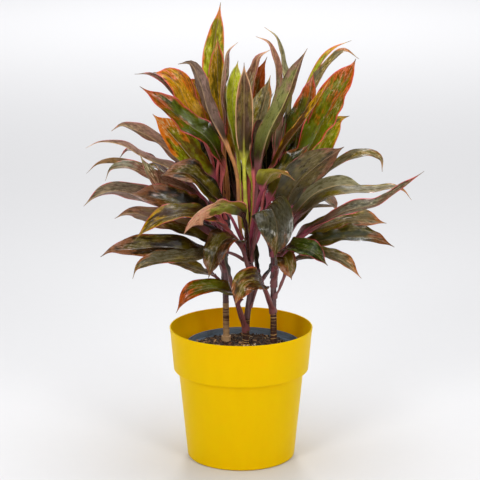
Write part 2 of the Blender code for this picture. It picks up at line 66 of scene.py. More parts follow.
# Planter, from its CAD node and the heights of its collar
POT_LOW, POT_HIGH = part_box("cachepot")
RIM_RADIUS = (POT_HIGH.x - POT_LOW.x) / 2
POT_HEIGHT = POT_HIGH.z
COLLAR_FOOT_RADIUS = 118 * MM
COLLAR_FOOT_HEIGHT = 158.5 * MM
BODY_TOP_RADIUS = 109.6 * MM
BASE_RADIUS = 94.5 * MM
BASE_FILLET = 4 * MM
STEP_FILLET = 0.8 * MM
COLLAR_FILLET = 1.2 * MM
POT_FLOOR = 3 * MM
LIP_RADIUS = 1.4 * MM
LIP_INSET = 0.8 * MM
LIP_BELOW = 3 * MM

# Nursery pot, from its CAD node
NURSERY_LOW, NURSERY_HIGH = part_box("nursery_pot")
NURSERY_CENTRE = ((NURSERY_LOW.x + NURSERY_HIGH.x) / 2, (NURSERY_LOW.y + NURSERY_HIGH.y) / 2)
NURSERY_RIM_RADIUS = (NURSERY_HIGH.x - NURSERY_LOW.x) / 2
NURSERY_BAND = 12 * MM
NURSERY_NECK_RADIUS = 97.5 * MM
NURSERY_BASE_RADIUS = 79 * MM
NURSERY_WALL = 1.4 * MM
DRAIN_HOLES = 8
DRAIN_RADIUS = 5 * MM
DRAIN_CIRCLE = 58 * MM

SOIL_LOW, SOIL_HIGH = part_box("soil")
SOIL_LEVEL = 192 * MM
SOIL_MOUND = 8 * MM
MOUND_CENTRE = (-15 * MM, -10 * MM)
MOUND_RADIUS = 75 * MM
SOIL_RINGS = 60
# What lies on it: how far a bit leans (radians), how uneven it is, and the strands
LEAN = 0.7
ROUGHEN = 0.25
ROOT_LOOPS = 7
STRAND_STEPS = 8
# The golden bits' distance from the middle cane, middling and spread, across and in depth, and
# the patch in which the root loops stand (mm)
GOLDEN_HEAP = ((9 * MM, 13 * MM), (-13 * MM, 9 * MM))
ROOTS_WITHIN = ((5, 42), (-52, -20))

CANES = ("left", "middle", "right")
# Height at which a cane's ringed bark gives way to smooth skin, and the left cane's stump
BARK_TOPS = {"left": 268 * MM, "middle": 248 * MM, "right": 262 * MM}
STUMP_TOP = 208 * MM
STUMP_RADIUS = 8.6 * MM
# Height of a step of a cane's mesh, and a leaf scar's slant and half height
CANE_STEP = 0.9 * MM
SCAR_SLANT = 0.9 * MM
SCAR_HALF = 0.8 * MM
# How far a scar stands out, how far the skin lies inside the frame's tube, and how lumpy the
# bark and the stump are
SCAR_RISE = 0.35 * MM
SKIN_INSET = 0.15 * MM
LUMPINESS = 0.035
STUMP_LUMPINESS = 0.08

# How each leaf of the frame looks, lowest first: its finish and the tone of its petiole
LEAF_LOOKS = {
    "left": ("grey mauve vivid", "olive mauve", "shade mauve dim", "brown mauve light",
             "brown mauve", "dove mauve bright", "dusk mauve vivid", "bronze magenta",
             "shade magenta dark", "dusk magenta bright", "dove magenta brilliant",
             "olive magenta", "rose magenta vivid", "sunset magenta vivid", "flame pink dim",
             "amber pink pale", "dove pink brilliant", "spear peach light"),
    "middle": ("sunset mauve", "brown mauve dark", "olive mauve", "grey mauve pale",
               "peach maroon vivid", "grey mauve dark", "tawny pink dim", "olive magenta",
               "shade magenta dim", "glint magenta light", "bronze pink light",
               "dusk peach pale", "fern mauve bright", "rose pink brilliant",
               "grey lime brilliant", "bark lime pale", "lime lime bright"),
    "right": ("brown mauve pale", "grey mauve bright", "fresh mauve dark", "olive mauve pale",
              "olive mauve dim", "dove magenta pale", "grey mauve bright",
              "grey mauve bright", "cool mauve brilliant", "olive magenta dim",
              "grey mauve light", "olive magenta", "citron pink pale", "grey pink bright",
              "citron pink pale", "fire pink pale", "cool pink brilliant", "flame pink",
              "rose pink brilliant"),
}
# How light a leaf is: partly its own tone, partly painted light and shade for how it is lit
LIGHTNESS = {"dark": 0.65, "dim": 0.9, "plain": 1.2, "pale": 1.5, "light": 1.9, "bright": 2.4,
             "vivid": 3.2, "brilliant": 4.4}
# Leaves whose outer half is fuller or slimmer than the setting
FULLNESS = {"left_11": 0.0, "left_14": 0.5, "left_16": 0.9, "left_17": 0.6, "middle_05": 1.3,
            "middle_09": 0.6, "middle_10": 0.2, "middle_16": 0.15, "middle_17": 0.9,
            "right_06": 0.1, "right_08": 0.15, "right_10": 0.55, "right_15": 0.0,
            "right_16": 1.1, "right_17": 0.0, "right_19": 0.0}
# Leaves whose petiole takes a larger share of their length
LONG_NECKS = {"middle_05": 0.42, "middle_10": 0.55, "middle_12": 0.46, "left_16": 0.42}
# Leaves turned over along their length
TURNED_OVER = ("middle_05",)
# Leaves that the frame doesn't hold: cane, height on it, direction that it faces (degrees),
# width, finish and petiole, then the route from neck to tip. Lengths are in centimetres.
YOUNG_LEAVES = (
    ("left", 43.8, 80, 3.2, "tall peach", ((-3, 2, 54), (-4, 4, 65), (-4, 5, 73.5))),
    ("left", 42.6, 120, 3.0, "amber mauve",
     ((-4.5, 8, 53), (-6.5, 8, 62), (-8.5, 8, 65), (-10.5, 7, 65))),
    ("left", 41.7, 140, 1.5, "mauve mauve",
     ((-6.5, 9, 53), (-10.5, 9, 61), (-14, 8, 65.5), (-16, 8, 66.5), (-18.5, 8, 66.5))),
    ("left", 38.4, 150, 3.2, "mauve mauve",
     ((-7.5, 10, 45), (-13.5, 10, 49), (-18, 9, 52.5), (-19.5, 9, 53), (-21.5, 8, 51.5))),
    ("left", 34.4, 220, 3.6, "shade mauve",
     ((-3.5, -5, 39), (-8, -6, 41), (-12, -7, 42.5), (-15.5, -8, 43))),
    ("middle", 41.0, 110, 2.8, "amber pink",
     ((-0.8, 4, 51), (-2.2, 6, 57.5), (-3.4, 5.5, 60.6), (-4.4, 4, 60))),
    ("middle", 39.6, 70, 3.4, "sunset mauve",
     ((1.5, 8, 53), (2.5, 8, 62), (3.5, 8, 67), (4.5, 8, 69.5))),
    ("middle", 40.8, 20, 2.6, "ochre lime", ((2, 2, 50.5), (3, 3, 57.5), (5.5, 3, 64))),
    ("middle", 39.8, 320, 2.4, "dove pink",
     ((2.4, -1.5, 52), (3.2, -2, 58.5), (4, -2.5, 60.6), (5.4, -4, 58.6))),
    ("right", 36.8, 35, 3.2, "grey mauve", ((8, 8, 40), (11.5, 8, 42.5), (17, 8, 43))),
    ("right", 32.0, 300, 3.2, "brown mauve",
     ((6, -5, 35), (7.5, -7, 37.5), (8, -8, 36), (8.5, -9, 34))),
    # Most inner leaves from here on are nearly black: that tone is painted shade of the crown's
    # inside
    ("left", 38.6, 60, 4.6, "night maroon", ((-4, 5, 42.5), (-3, 8.5, 47), (-2.4, 10, 51.5))),
    ("left", 37.2, 20, 4.0, "night maroon", ((-3.4, 3.5, 40.5), (-1.8, 6, 44), (-0.6, 7, 48))),
    ("middle", 37.8, 110, 4.4, "night maroon", ((0.2, 5, 42), (-0.4, 8.5, 46), (-0.8, 10, 50))),
    ("middle", 37.0, 50, 4.2, "night maroon", ((2, 4.5, 41), (3.2, 8, 45), (4.2, 9, 49))),
    ("right", 37.4, 150, 4.2, "night maroon", ((4.2, 2.5, 42), (3.4, 5.5, 46.5), (3, 7, 51))),
    ("middle", 23.6, 190, 2.4, "night mauve", ((-2.6, -1.5, 35), (-3.4, -2.5, 39), (-4, -3, 42))),
    ("right", 27.2, 200, 2.4, "night mauve", ((3, 0, 32.5), (2.2, -0.5, 37), (1.6, -1, 41))),
    ("middle", 28, 10, 2.4, "night mauve", ((3.8, 1, 31.5), (6.4, 2, 34.6), (9, 3, 37))),
    ("right", 39.6, 100, 4.2, "night maroon",
     ((4.6, 2.5, 46), (4.4, 4, 50), (4.4, 5, 54.5), (4.8, 5, 58.5))),
    ("left", 41.4, 60, 4.6, "night maroon",
     ((-3.4, 4.5, 47.5), (-4.6, 7, 53), (-5, 8, 57.5), (-5.5, 8, 59.5))),
    ("left", 40.6, 130, 4.4, "night maroon",
     ((-5.5, 6, 46), (-7.5, 9, 50.5), (-9.5, 10, 54), (-11, 10, 56))),
    ("left", 39.4, 95, 4.2, "night maroon",
     ((-4.4, 6, 44), (-6.5, 10, 47.5), (-9.5, 12, 49.5), (-13, 13, 49.5))),
    ("left", 36.6, 240, 3.6, "night maroon",
     ((-3.8, -3.5, 41), (-7.5, -5, 43.3), (-11, -6, 44.6), (-14, -6, 44.4))),
    ("middle", 40.2, 120, 4.4, "night maroon",
     ((-1.2, 5, 46.5), (-2.2, 8, 52), (-3, 9, 57), (-3.5, 9, 60))),
    ("middle", 40.0, 60, 4.6, "night maroon",
     ((1.8, 5, 46.5), (3, 8, 52), (3.8, 9, 57), (4.2, 9, 60))),
    ("middle", 39.2, 20, 4.2, "night maroon",
     ((3.2, 3.5, 45.5), (6, 5, 50), (8.5, 5.5, 54), (10, 5.5, 57.5))),
    ("right", 40.2, 160, 4.4, "night maroon",
     ((4.4, 2.5, 47), (5.6, 4.5, 53), (7, 5.5, 58), (8, 5.5, 61))),
    ("right", 39.0, 110, 4.4, "night maroon",
     ((6.3, 5, 46), (8.5, 8, 51), (11, 9.5, 55), (13, 10, 58))),
    ("right", 38.0, 330, 3.8, "shade magenta",
     ((8.2, -1.5, 44.5), (11.5, -1.8, 49), (14, -1.6, 52.5), (15.5, -1.5, 55))),
    ("right", 35.4, 350, 3.6, "night maroon",
     ((8.3, 2.6, 40.5), (12, 4, 43.5), (15.5, 5, 45.5), (18.5, 5.5, 46.3))),
)

# Finishes of a blade: its deep tone, the brighter tone of its patches, the tone that it takes
# toward margin and tip, the shares of the last two, how far the last gathers at the tip, how
# strongly the margin is coloured, its roughness as a share of the setting, and how far the
# upper side's tones show on the under side
FINISHES = {
    "grey": ("slate", "olive", "bronze", 0.4, 0.25, 0.2, 0.3, 1.15, 0.5),
    "dove": ("mauve", "slate", "umber", 0.45, 0.3, 0.1, 0.8, 1, 0.5),
    "brown": ("umber", "olive", "bronze", 0.5, 0.45, 0.2, 0.4, 1, 0.5),
    "tawny": ("umber", "olive", "ochre", 0.5, 0.45, 0.2, 0.7, 1, 0.3),
    "olive": ("deep_green", "olive", "bronze", 0.55, 0.35, 0.3, 0.4, 1, 0.8),
    "bronze": ("umber", "olive", "ochre", 0.45, 0.45, 0.2, 0.5, 1, 0.35),
    "mauve": ("mauve", "umber", "maroon", 0.35, 0.25, 0.1, 0.7, 1.3, 0.15),
    "dusk": ("mauve", "umber", "slate", 0.4, 0.35, 0.3, 0.4, 1.2, 0.15),
    # The nearly black finish of the inner fill leaves is painted shade
    "night": ("night", "deep_green", "umber", 0.4, 0.3, 0.1, 0.25, 1, 0.8),
    "shade": ("night", "olive", "bronze", 0.5, 0.45, 0.3, 0.4, 1, 0.75),
    "fresh": ("deep_green", "leaf_green", "umber", 0.6, 0.3, 0.3, 0.8, 1, 0.3),
    "fern": ("leaf_green", "umber", "mauve", 0.45, 0.45, 0.3, 0.3, 0.9, 0.75),
    "flame": ("leaf_green", "deep_green", "orange", 0.45, 0.45, 0.3, 0.9, 1, 0.35),
    "fire": ("green", "leaf_green", "orange", 0.4, 0.5, 0.2, 1, 1, 0.5),
    "sunset": ("deep_green", "leaf_green", "orange", 0.55, 0.5, 0.5, 0.3, 1, 0.5),
    "amber": ("maroon", "ochre", "orange", 0.65, 0.45, 0.1, 0.8, 1, 0.5),
    "tall": ("olive", "ochre", "orange", 0.5, 0.2, 0.1, 0.9, 1, 0.7),
    "cool": ("slate", "olive", "slate", 0.35, 0.3, 0.2, 0.2, 1, 0.6),
    "rose": ("mauve", "slate", "mauve", 0.4, 0.3, 0.1, 0.6, 1, 0.5),
    "spear": ("olive", "lime", "orange", 0.4, 0.3, 0.1, 0.9, 1, 0.8),
    "ochre": ("olive", "ochre", "bronze", 0.5, 0.4, 0.2, 0.3, 1, 0.6),
    "peach": ("deep_green", "leaf_green", "peach", 0.6, 0.8, 0.6, 0.8, 1, 0.4),
    "bark": ("umber", "olive", "bronze", 0.5, 0.35, 0.1, 1, 1, 0.75),
    "lime": ("green", "lime", "olive", 0.7, 0.15, 0.1, 1, 1, 0.8),
    "citron": ("leaf_green", "lime", "ochre", 0.45, 0.4, 0.2, 0.9, 1, 0.6),
    "glint": ("leaf_green", "lime", "bronze", 0.4, 0.45, 0.2, 0.4, 0.4, 0.5),
}
PALE_MARGINS = ("bark", "lime")
# The tone of the painted shade that darkens a blade in its streaks and at its base, its lightest
# tone, and how light a leaf may be before it lets no more light through
PAINTED_SHADE_TONE = (0.17, 0.18, 0.12, 1.0)
LIGHTEST = (0.85, 0.85, 0.85, 1.0)
MOST_GLOW = 1.7
# What the grain of loose bits is darkened by
GRAIN_DARK = (0.35, 0.32, 0.30, 1.0)

# Blade mesh: columns across, crowded toward the midrib, rows along, and rows of the sheath
LEAF_COLUMNS = 14
CROWDING = 1.35
LEAF_ROWS = 58
SHEATH_ROWS = 6
# The sheath that clasps the cane: its drop, its half width, and the shares of the drop at
# which it stands so far off the cane
SHEATH_DROP = 13 * MM
SHEATH_HALF = 10 * MM
SHEATH_STEPS = ((1.0, 0.5 * MM), (0.45, 1.2 * MM))
# Half widths at which a blade begins, of a long neck, at a tip, and of the midrib's groove
NECK_HALF = 3.6 * MM
STALK_HALF = 2.7 * MM
TIP_HALF = 0.35 * MM
GROOVE_HALF = 1.3 * MM
# Fold of the petiole, and what the blade adds to it, in radians
STALK_CREASE = 0.34
BLADE_CREASE = 0.20
THICKEST = 3.2 * MM
THICKNESS_STEPS = 40
# How far back a side vein runs for each step that it goes out from the midrib
VEIN_SLOPE = 5.0
# Where a plain solid's middle lies between its keel and its top, and the height of the curve
# that a young leaf's width follows
TOP_SHARE = 0.65
LANCE_PEAK = 0.303

# The studio's lights: place, aim and side. Their powers are settings.
PLANT_MIDDLE = (0.0, 0.0, 0.42)
SOFTBOXES = {
    "overhead": ((0.05, 0.3, 2.4), PLANT_MIDDLE, 1.6),
    "key": ((-1.6, -2.6, 2.1), PLANT_MIDDLE, 0.9),
    "fill": ((1.7, -2.6, 1.8), PLANT_MIDDLE, 0.9),
    "backdrop": ((0.0, 6.8, 6.0), (0.0, 6.8, 0.0), 2.0),
}

# The paper: the side of its floor, the height of its wall and the width of the curve between
PAPER_SIZE = 24.0
PAPER_WALL = 6.0
PAPER_CURVE = 2.5

# Camera
CAMERA_PLACE = (-0.0019, -3.0, 1.1006)
CAMERA_TILT = math.radians(76.638)
CAMERA_LENS = 133.85
SENSOR = 36.0


def tint(red, green, blue):
    """A display colour (0 to 255) as the linear colour that a shader takes, with alpha."""
    shares = [channel / 255 for channel in (red, green, blue)]
    return (*[share / 12.92 if share <= 0.04045 else ((share + 0.055) / 1.055) ** 2.4
              for share in shares], 1.0)


def shaded(colour, factor, lift=0.0):
    """A colour made darker or lighter."""
    return (*[min(1.0, part * factor + lift) for part in colour[:3]], 1.0)


def a_colour(name, description, red, green, blue):
    """A colour setting, its default given as a display colour."""
    return FloatVectorProperty(name=name, description=description, subtype="COLOR", size=4,
                               min=0.0, max=1.0, default=tint(red, green, blue))


def a_length(name, description, default, least, most):
    """A length setting, given in millimetres."""
    return FloatProperty(name=name, description=description, default=default * MM,
                         min=least * MM, max=most * MM, unit="LENGTH")


def a_share(name, description, default, most=1.0):
    """A setting from nothing up to a little or a lot."""
    return FloatProperty(name=name, description=description, default=default, min=0.0,
                         max=most, subtype="FACTOR")


def a_power(name, description, default):
    """The power of a light."""
    return FloatProperty(name=name, description=description, default=default, min=0.0,
                         unit="POWER")


def a_count(name, description, default, least, most):
    """A number of pieces or steps."""
    return IntProperty(name=name, description=description, default=default, min=least,
                       max=most)


# ---------------------------------------------------------------------------- materials


class Value:
    """An output socket that takes part in sums: each sum adds its Math node."""

    def __init__(self, finish, socket):
        self.finish = finish
        self.socket = socket

    def math(self, operation, *inputs):
        """The Math node of an operation on these inputs."""
        return self.finish.add("ShaderNodeMath", {"operation": operation},
                               dict(enumerate(inputs)))

    def __add__(self, other):
        return self.math("ADD", self, other)

    def __sub__(self, other):
        return self.math("SUBTRACT", self, other)

    def __rsub__(self, other):
        return self.math("SUBTRACT", other, self)

    def __mul__(self, other):
        return self.math("MULTIPLY", self, other)

    __radd__ = __add__
    __rmul__ = __mul__

    def __abs__(self):
        return self.math("ABSOLUTE", self)

    def sine(self):
        """Its sine."""
        return self.math("SINE", self)

    def larger(self, other):
        """The larger of two."""
        return self.math("MAXIMUM", self, other)

    def smaller(self, other):
        """The smaller of two."""
        return self.math("MINIMUM", self, other)

    def ramp(self, low, high):
        """0 below low, 1 above high, smooth between. With low above high it falls."""
        return self.finish.add("ShaderNodeMapRange", {"interpolation_type": "SMOOTHSTEP"},
                               {"Value": self, "From Min": low, "From Max": high})


class Finish:
    """A procedural material and the nodes added to it."""

    def __init__(self, name):
        self.material = bpy.data.materials.new(name)
        self.material.use_nodes = True
        self.tree = self.material.node_tree
        self.tree.nodes.clear()

    def add(self, kind, settings=None, inputs=None, output=0):
        """A node of the kind: its settings, then the values or links of its sockets."""
        node = self.tree.nodes.new(kind)
        for key, value in (settings or {}).items():
            setattr(node, key, value)
        for key, value in (inputs or {}).items():
            if isinstance(value, Value):
                self.tree.links.new(value.socket, node.inputs[key])
            else:
                node.inputs[key].default_value = value
        return Value(self, node.outputs[output])

    def attribute(self, name, output="Fac"):
        """What a piece's mesh stores under a name."""
        return self.add("ShaderNodeAttribute", {"attribute_name": name}, output=output)

    def parts(self, name):
        """The three numbers of a vector that a piece's mesh stores."""
        vector = self.attribute(name, "Vector")
        return [self.add("ShaderNodeSeparateXYZ", None, {0: vector}, part) for part in "XYZ"]

    def place(self, scale=(1.0, 1.0, 1.0)):
        """The piece's own coordinates, stretched."""
        spot = self.add("ShaderNodeTexCoord", output="Object")
        return self.add("ShaderNodeMapping", None, {"Vector": spot, "Scale": scale})

    def join(self, x, y, z):
        """Three numbers as one vector."""
        return self.add("ShaderNodeCombineXYZ", None, {"X": x, "Y": y, "Z": z})

    def noise(self, vector, scale, detail=3.0, rough=0.5):
        """Soft noise about 0.5."""
        return self.add("ShaderNodeTexNoise", None,
                        {"Vector": vector, "Scale": scale, "Detail": detail, "Roughness": rough})

    def cells(self, vector, scale, output="Distance"):
        """Cells: the distance to their centres, or a colour for each."""
        return self.add("ShaderNodeTexVoronoi", None, {"Vector": vector, "Scale": scale}, output)

    def blend(self, share, first, second, mode="MIX"):
        """Two colours mixed by a share."""
        return self.add("ShaderNodeMix", {"data_type": "RGBA", "blend_type": mode},
                        {0: share, 6: first, 7: second}, 2)

    def bump(self, height, strength, distance):
        """A normal from a height."""
        return self.add("ShaderNodeBump", None,
                        {"Height": height, "Strength": strength, "Distance": distance})

    def principled(self, inputs):
        """A Principled surface."""
        return self.add("ShaderNodeBsdfPrincipled", None, inputs)

    def done(self, shader):
        """Send a shader to the output and give back the material."""
        node = self.tree.nodes.new("ShaderNodeOutputMaterial")
        self.tree.links.new(shader.socket, node.inputs["Surface"])
        return self.material

    def surface(self, inputs):
        """Finish with one Principled surface."""
        return self.done(self.principled(inputs))


def leaf_finish(palette, look, stalk):
    """A leaf's surface: patches and streaks along the veins, midrib, margin and petiole."""
    *tones, bright_share, warm_share, pull, rim, dullness, back_shows = FINISHES[look]
    deep, bright, warm = (getattr(palette, tone) for tone in tones)
    finish = Finish(f"leaf_{look}_{stalk}")
    across, sweep, seed = finish.parts("grain")
    inset, along, petiole = finish.parts("blade")
    under, light = finish.attribute("under"), finish.attribute("light")
    run = sweep + abs(across) * VEIN_SLOPE

    def drawn_out(wide, long, start, detail, rough=0.5, run=run):
        """Noise that is drawn out along the leaf, and differs from leaf to leaf."""
        spot = finish.join(across * wide, run * long, seed + start)
        return finish.noise(spot, 1.0, detail, rough)

    broad = drawn_out(0.06, 0.014, 0.0, 2.0)
    cloud = drawn_out(0.09, 0.03, 13.0, 2.0)
    streak = drawn_out(0.3, 0.04, 7.0, 3.0, 0.6, sweep)
    mottle = drawn_out(0.22, 0.09, 21.0, 4.0, 0.7)
    fine = drawn_out(0.5, 0.13, 3.0, 2.0, 0.6)

    # Upper side: bright patches on the deep tone, and the warm tone toward margin and tip
    centre = 0.5 + (0.5 - bright_share) * 0.4
    patch = (broad * 0.55 + mottle * 0.3 + streak * 0.15).ramp(centre - 0.05, centre + 0.05)
    edge = inset.ramp(9.0, 0.0)
    tipward = along.ramp(0.35, 0.95)
    centre = 0.56 + (0.5 - warm_share) * 0.4 + pull * 0.3
    warmth = cloud * 0.5 + mottle * 0.3 + streak * 0.2 + edge * 0.1 + tipward * pull * 0.7
    warmth = warmth.ramp(centre - 0.07, centre + 0.07)
    upper = finish.blend(warmth, finish.blend(patch, deep, bright), warm)

    # Under side: its own two tones, with a share of the upper side's
    back = finish.blend((broad * 0.5 + streak * 0.5).ramp(0.42, 0.58), palette.underside,
                        palette.underside_deep)
    back = finish.blend(back_shows, back, upper)
    blade = finish.blend(under, upper, back)

    # Painted shade in mottled streaks, partly pattern, and at the base; pale painted highlights
    mottling_and_shade = (mottle * 0.5 + fine * 0.35 + streak * 0.35).ramp(0.66, 0.48) * 0.85
    base = (along + (cloud - 0.5) * 0.5).ramp(0.62, 0.02)
    dusk = finish.blend(1.0, blade, PAINTED_SHADE_TONE, "MULTIPLY")
    blade = finish.blend(mottling_and_shade.larger(base), blade, dusk)
    # Pale flecks painted on as highlights of glare, fewer on the under side
    flecks = (fine * 0.6 + mottle * 0.4 + tipward * 0.05 - edge * 0.04).ramp(0.52, 0.68)
    flecks = flecks * broad.ramp(0.45, 0.6) * along.ramp(0.25, 0.6) * (1.0 - under * 0.6)
    blade = finish.blend(flecks * palette.painted_glint_share, blade, palette.painted_glint)

    # Midrib, broken margin and dry tip
    rib = abs(across).ramp(1.5, 0.6)
    blade = finish.blend(rib * 0.4, blade, palette.rib)
    width = palette.margin_width / MM * (0.5 + 1.3 * rim)
    margin = inset.ramp(width * 1.2, width * 0.7) * along.ramp(0.97, 0.9)
    shown = (cloud * 0.6 + streak * 0.4).ramp(0.66 - rim * 0.3, 0.74 - rim * 0.3)
    blade = finish.blend(margin * shown * 0.9, blade,
                         palette.margin_pale if look in PALE_MARGINS else palette.margin)
    dry = (along + (streak - 0.5) * 0.05).ramp(0.955, 0.99)
    blade = finish.blend(dry * 0.8, blade, palette.dry_tip)

    # The leaf's lightness, partly painted light and shade for how it is lit, held below white
    blade = finish.blend(1.0, blade, finish.join(light, light, light), "MULTIPLY")
    blade = finish.blend(1.0, blade, LIGHTEST, "DARKEN")

    # Petiole, whose tone runs on along the midrib
    stalk_tone = getattr(palette, f"petiole_{stalk}")
    stalk_deep = finish.blend(0.4, stalk_tone, palette.mauve)
    stalk_tone = finish.blend((streak * 0.7 + fine * 0.3).ramp(0.4, 0.6), stalk_tone, stalk_deep)
    along_rib = abs(across).ramp(2.2, 1.0) * petiole.ramp(0.0, 0.5) * 0.8
    whole = finish.blend(petiole.ramp(0.55, 0.95).larger(along_rib), blade, stalk_tone)

    vein = (sweep * (2 * math.pi / palette.vein_spacing * MM)).sine()
    relief = vein * 0.25 + fine * 1.2 + mottle * 1.8 + streak * 0.8 + abs(across).ramp(2.4, 0.0)
    normal = finish.bump(relief, 0.6, 0.5 * MM)
    skin = finish.principled({
        "Base Color": whole,
        "Roughness": (palette.gloss + (mottle - 0.5) * 0.5 + under * 0.12) * dullness,
        "Normal": normal,
        "Specular IOR Level": 0.4,
        "Coat Weight": (mottle * 0.5 + fine * 0.5).ramp(0.44, 0.58) * palette.shine,
        "Coat Roughness": 0.16})
    glow = finish.add("ShaderNodeBsdfTranslucent", None,
                      {"Color": glow_tone(bright, warm, warm_share), "Normal": normal})
    thin = petiole.ramp(0.9, 0.4) * (1.0 - rib * 0.7) * light.smaller(MOST_GLOW)
    return finish.done(finish.add("ShaderNodeMixShader", None,
                                  {0: thin * palette.translucency, 1: skin, 2: glow}))


def glow_tone(bright, warm, warm_share):
    """The light that a blade lets through: its own tones, brighter."""
    tone = [a * (1 - warm_share) + b * warm_share for a, b in zip(bright[:3], warm[:3])]
    return (*[min(0.9, part * 2.6) for part in tone], 1.0)


def gloss_plastic(name, colour, roughness):
    """Smooth moulded plastic: even colour, fine orange peel and faint flow lines."""
    finish = Finish(name)
    peel = finish.noise(finish.place(), 900.0, 2.0)
    flow = finish.noise(finish.place((1.0, 1.0, 0.15)), 60.0)
    return finish.surface({
        "Base Color": finish.blend(flow.ramp(0.2, 0.8), colour, shaded(colour, 0.975)),
        "Roughness": roughness + (flow - 0.5) * 0.06,
        "Normal": finish.bump(peel, 0.25, 0.08 * MM),
        "Subsurface Weight": 0.7,
        "Subsurface Radius": (1.0, 0.7, 0.08),
        "Subsurface Scale": 4 * MM,
        "Specular IOR Level": 0.03})


def dull_plastic(name, colour):
    """Thin blue-grey plastic of a nursery pot: dull, scuffed and dusty near its rim."""
    finish = Finish(name)
    scuff = finish.noise(finish.place((1.0, 1.0, 6.0)), 45.0, 4.0, 0.7)
    dust = finish.noise(finish.place(), 220.0)
    body = finish.blend(scuff.ramp(0.35, 0.75), shaded(colour, 0.6), colour)
    return finish.surface({
        "Base Color": finish.blend(dust.ramp(0.62, 0.8) * 0.6, body, shaded(colour, 1.9, 0.02)),
        "Roughness": 0.5 + scuff * 0.25,
        "Normal": finish.bump(dust, 0.3, 0.2 * MM)})


def soil_finish(settings):
    """Dark, damp potting soil of mixed crumbs."""
    finish = Finish("potting_soil")
    crumbs = finish.cells(finish.place(), 420.0, "Color")
    grey = finish.add("ShaderNodeSeparateColor", None, {0: crumbs})
    clods = finish.noise(finish.place(), 70.0, 5.0, 0.65)
    body = finish.blend(clods.ramp(0.35, 0.65), settings.soil_dark, settings.soil_light)
    body = finish.blend(grey.ramp(0.55, 1.0) * 0.7, body, settings.bark_dark)
    relief = clods + finish.cells(finish.place(), 420.0) * 0.8
    return finish.surface({"Base Color": body, "Roughness": 0.75 + clods * 0.2,
                           "Normal": finish.bump(relief, 0.9, 1.5 * MM)})


def bits_finish(name, first, second, third, roughness):
    """Loose bits whose tone varies from one to the next, with a fibrous grain."""
    finish = Finish(name)
    tone, along, _ = finish.parts("grain")
    grain = finish.noise(finish.join(tone * 9.0, along, tone), 2.0)
    body = finish.blend(tone.ramp(0.15, 0.55), first, second)
    body = finish.blend(tone.ramp(0.72, 0.95), body, third)
    darker = finish.blend(1.0, body, GRAIN_DARK, "MULTIPLY")
    body = finish.blend(grain.ramp(0.45, 0.75) * 0.5, body, darker)
    return finish.surface({"Base Color": body, "Roughness": roughness,
                           "Normal": finish.bump(grain, 0.6, 0.5 * MM)})


def cane_finish(settings):
    """Cane bark: rough with pale broken leaf scars below, smooth and purple above."""
    finish = Finish("cane_bark")
    scar, age, cork = finish.parts("grain")
    spots = finish.noise(finish.place((1.0, 1.0, 0.5)), 260.0, 4.0, 0.6)
    long_grain = finish.noise(finish.place((1.0, 1.0, 0.12)), 420.0, 2.0)
    band = finish.noise(finish.place((0.2, 0.2, 2.5)), 100.0, 2.0)
    dark = finish.blend(spots.ramp(0.35, 0.7), settings.bark_dark, settings.bark_brown)
    tan = finish.blend(band.ramp(0.3, 0.5), settings.bark_brown, settings.bark_tan)
    ring = finish.blend(cork, settings.scar_pale, settings.bark_brown)
    old = finish.blend((scar * (0.5 + spots)).ramp(0.35, 0.85), finish.blend(cork, dark, tan),
                       ring)
    young = finish.blend(long_grain.ramp(0.3, 0.7), settings.young_cane,
                         settings.young_cane_deep)
    young = finish.blend(scar.ramp(0.4, 0.9) * 0.35, young, settings.bark_brown)
    body = finish.blend((age + (spots - 0.5) * 0.2).ramp(0.4, 0.6), young, old)
    return finish.surface({
        "Base Color": body, "Roughness": 0.42 + age * 0.3,
        "Normal": finish.bump(spots * 0.6 + long_grain * 0.4, 0.5, 0.5 * MM)})


def backdrop_finish(colour):
    """Matt white studio paper."""
    finish = Finish("studio_paper")
    fibre = finish.noise(finish.place(), 40.0, 2.0)
    return finish.surface({"Base Color": finish.blend(fibre, colour, shaded(colour, 0.985)),
                           "Roughness": 0.9, "Specular IOR Level": 0.2})


# ---------------------------------------------------------------------------- modelling


def select_only(piece=None):
    """Be in object mode, with one piece selected or nothing."""
    if bpy.context.object and bpy.context.object.mode != "OBJECT":
        bpy.ops.object.mode_set(mode="OBJECT")
    bpy.ops.object.select_all(action="DESELECT")
    if piece:
        piece.select_set(True)
        bpy.context.view_layer.objects.active = piece


def finished(piece, material, slot, angle, *nodes):
    """Shade a piece, give it its material, and hang it on the frame. The slot is not used."""
    piece.data.materials.clear()
    piece.data.materials.append(material)
    select_only(piece)
    bpy.ops.object.shade_smooth_by_angle(angle=math.radians(angle))
    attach(piece, "root")
    if nodes:
        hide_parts(*nodes)


def apply_modifier(piece, kind, **settings):
    """Shape a piece by a modifier."""
    modifier = piece.modifiers.new(kind.lower(), kind)
    for key, value in settings.items():
        setattr(modifier, key, value)
    select_only(piece)
    bpy.ops.object.modifier_apply(modifier=modifier.name)


def spots_of(mesh):
    """The places of a mesh's vertices."""
    spots = np.zeros(len(mesh.vertices) * 3)
    mesh.vertices.foreach_get("co", spots)
    return spots.reshape(-1, 3)


def grid(name, columns, rows, place):
    """A flat grid with each vertex put in its place: place(u, v) takes shares from 0 to 1."""
    select_only()
    bpy.ops.mesh.primitive_grid_add(x_subdivisions=columns, y_subdivisions=rows, size=1.0)
    piece = bpy.context.object
    piece.name = name
    piece.data.name = name
    shares = spots_of(piece.data)[:, :2] + 0.5
    placed = place(shares[:, 0], shares[:, 1])
    piece.data.vertices.foreach_set("co", np.ascontiguousarray(placed).ravel())
    piece.data.update()
    return piece, shares


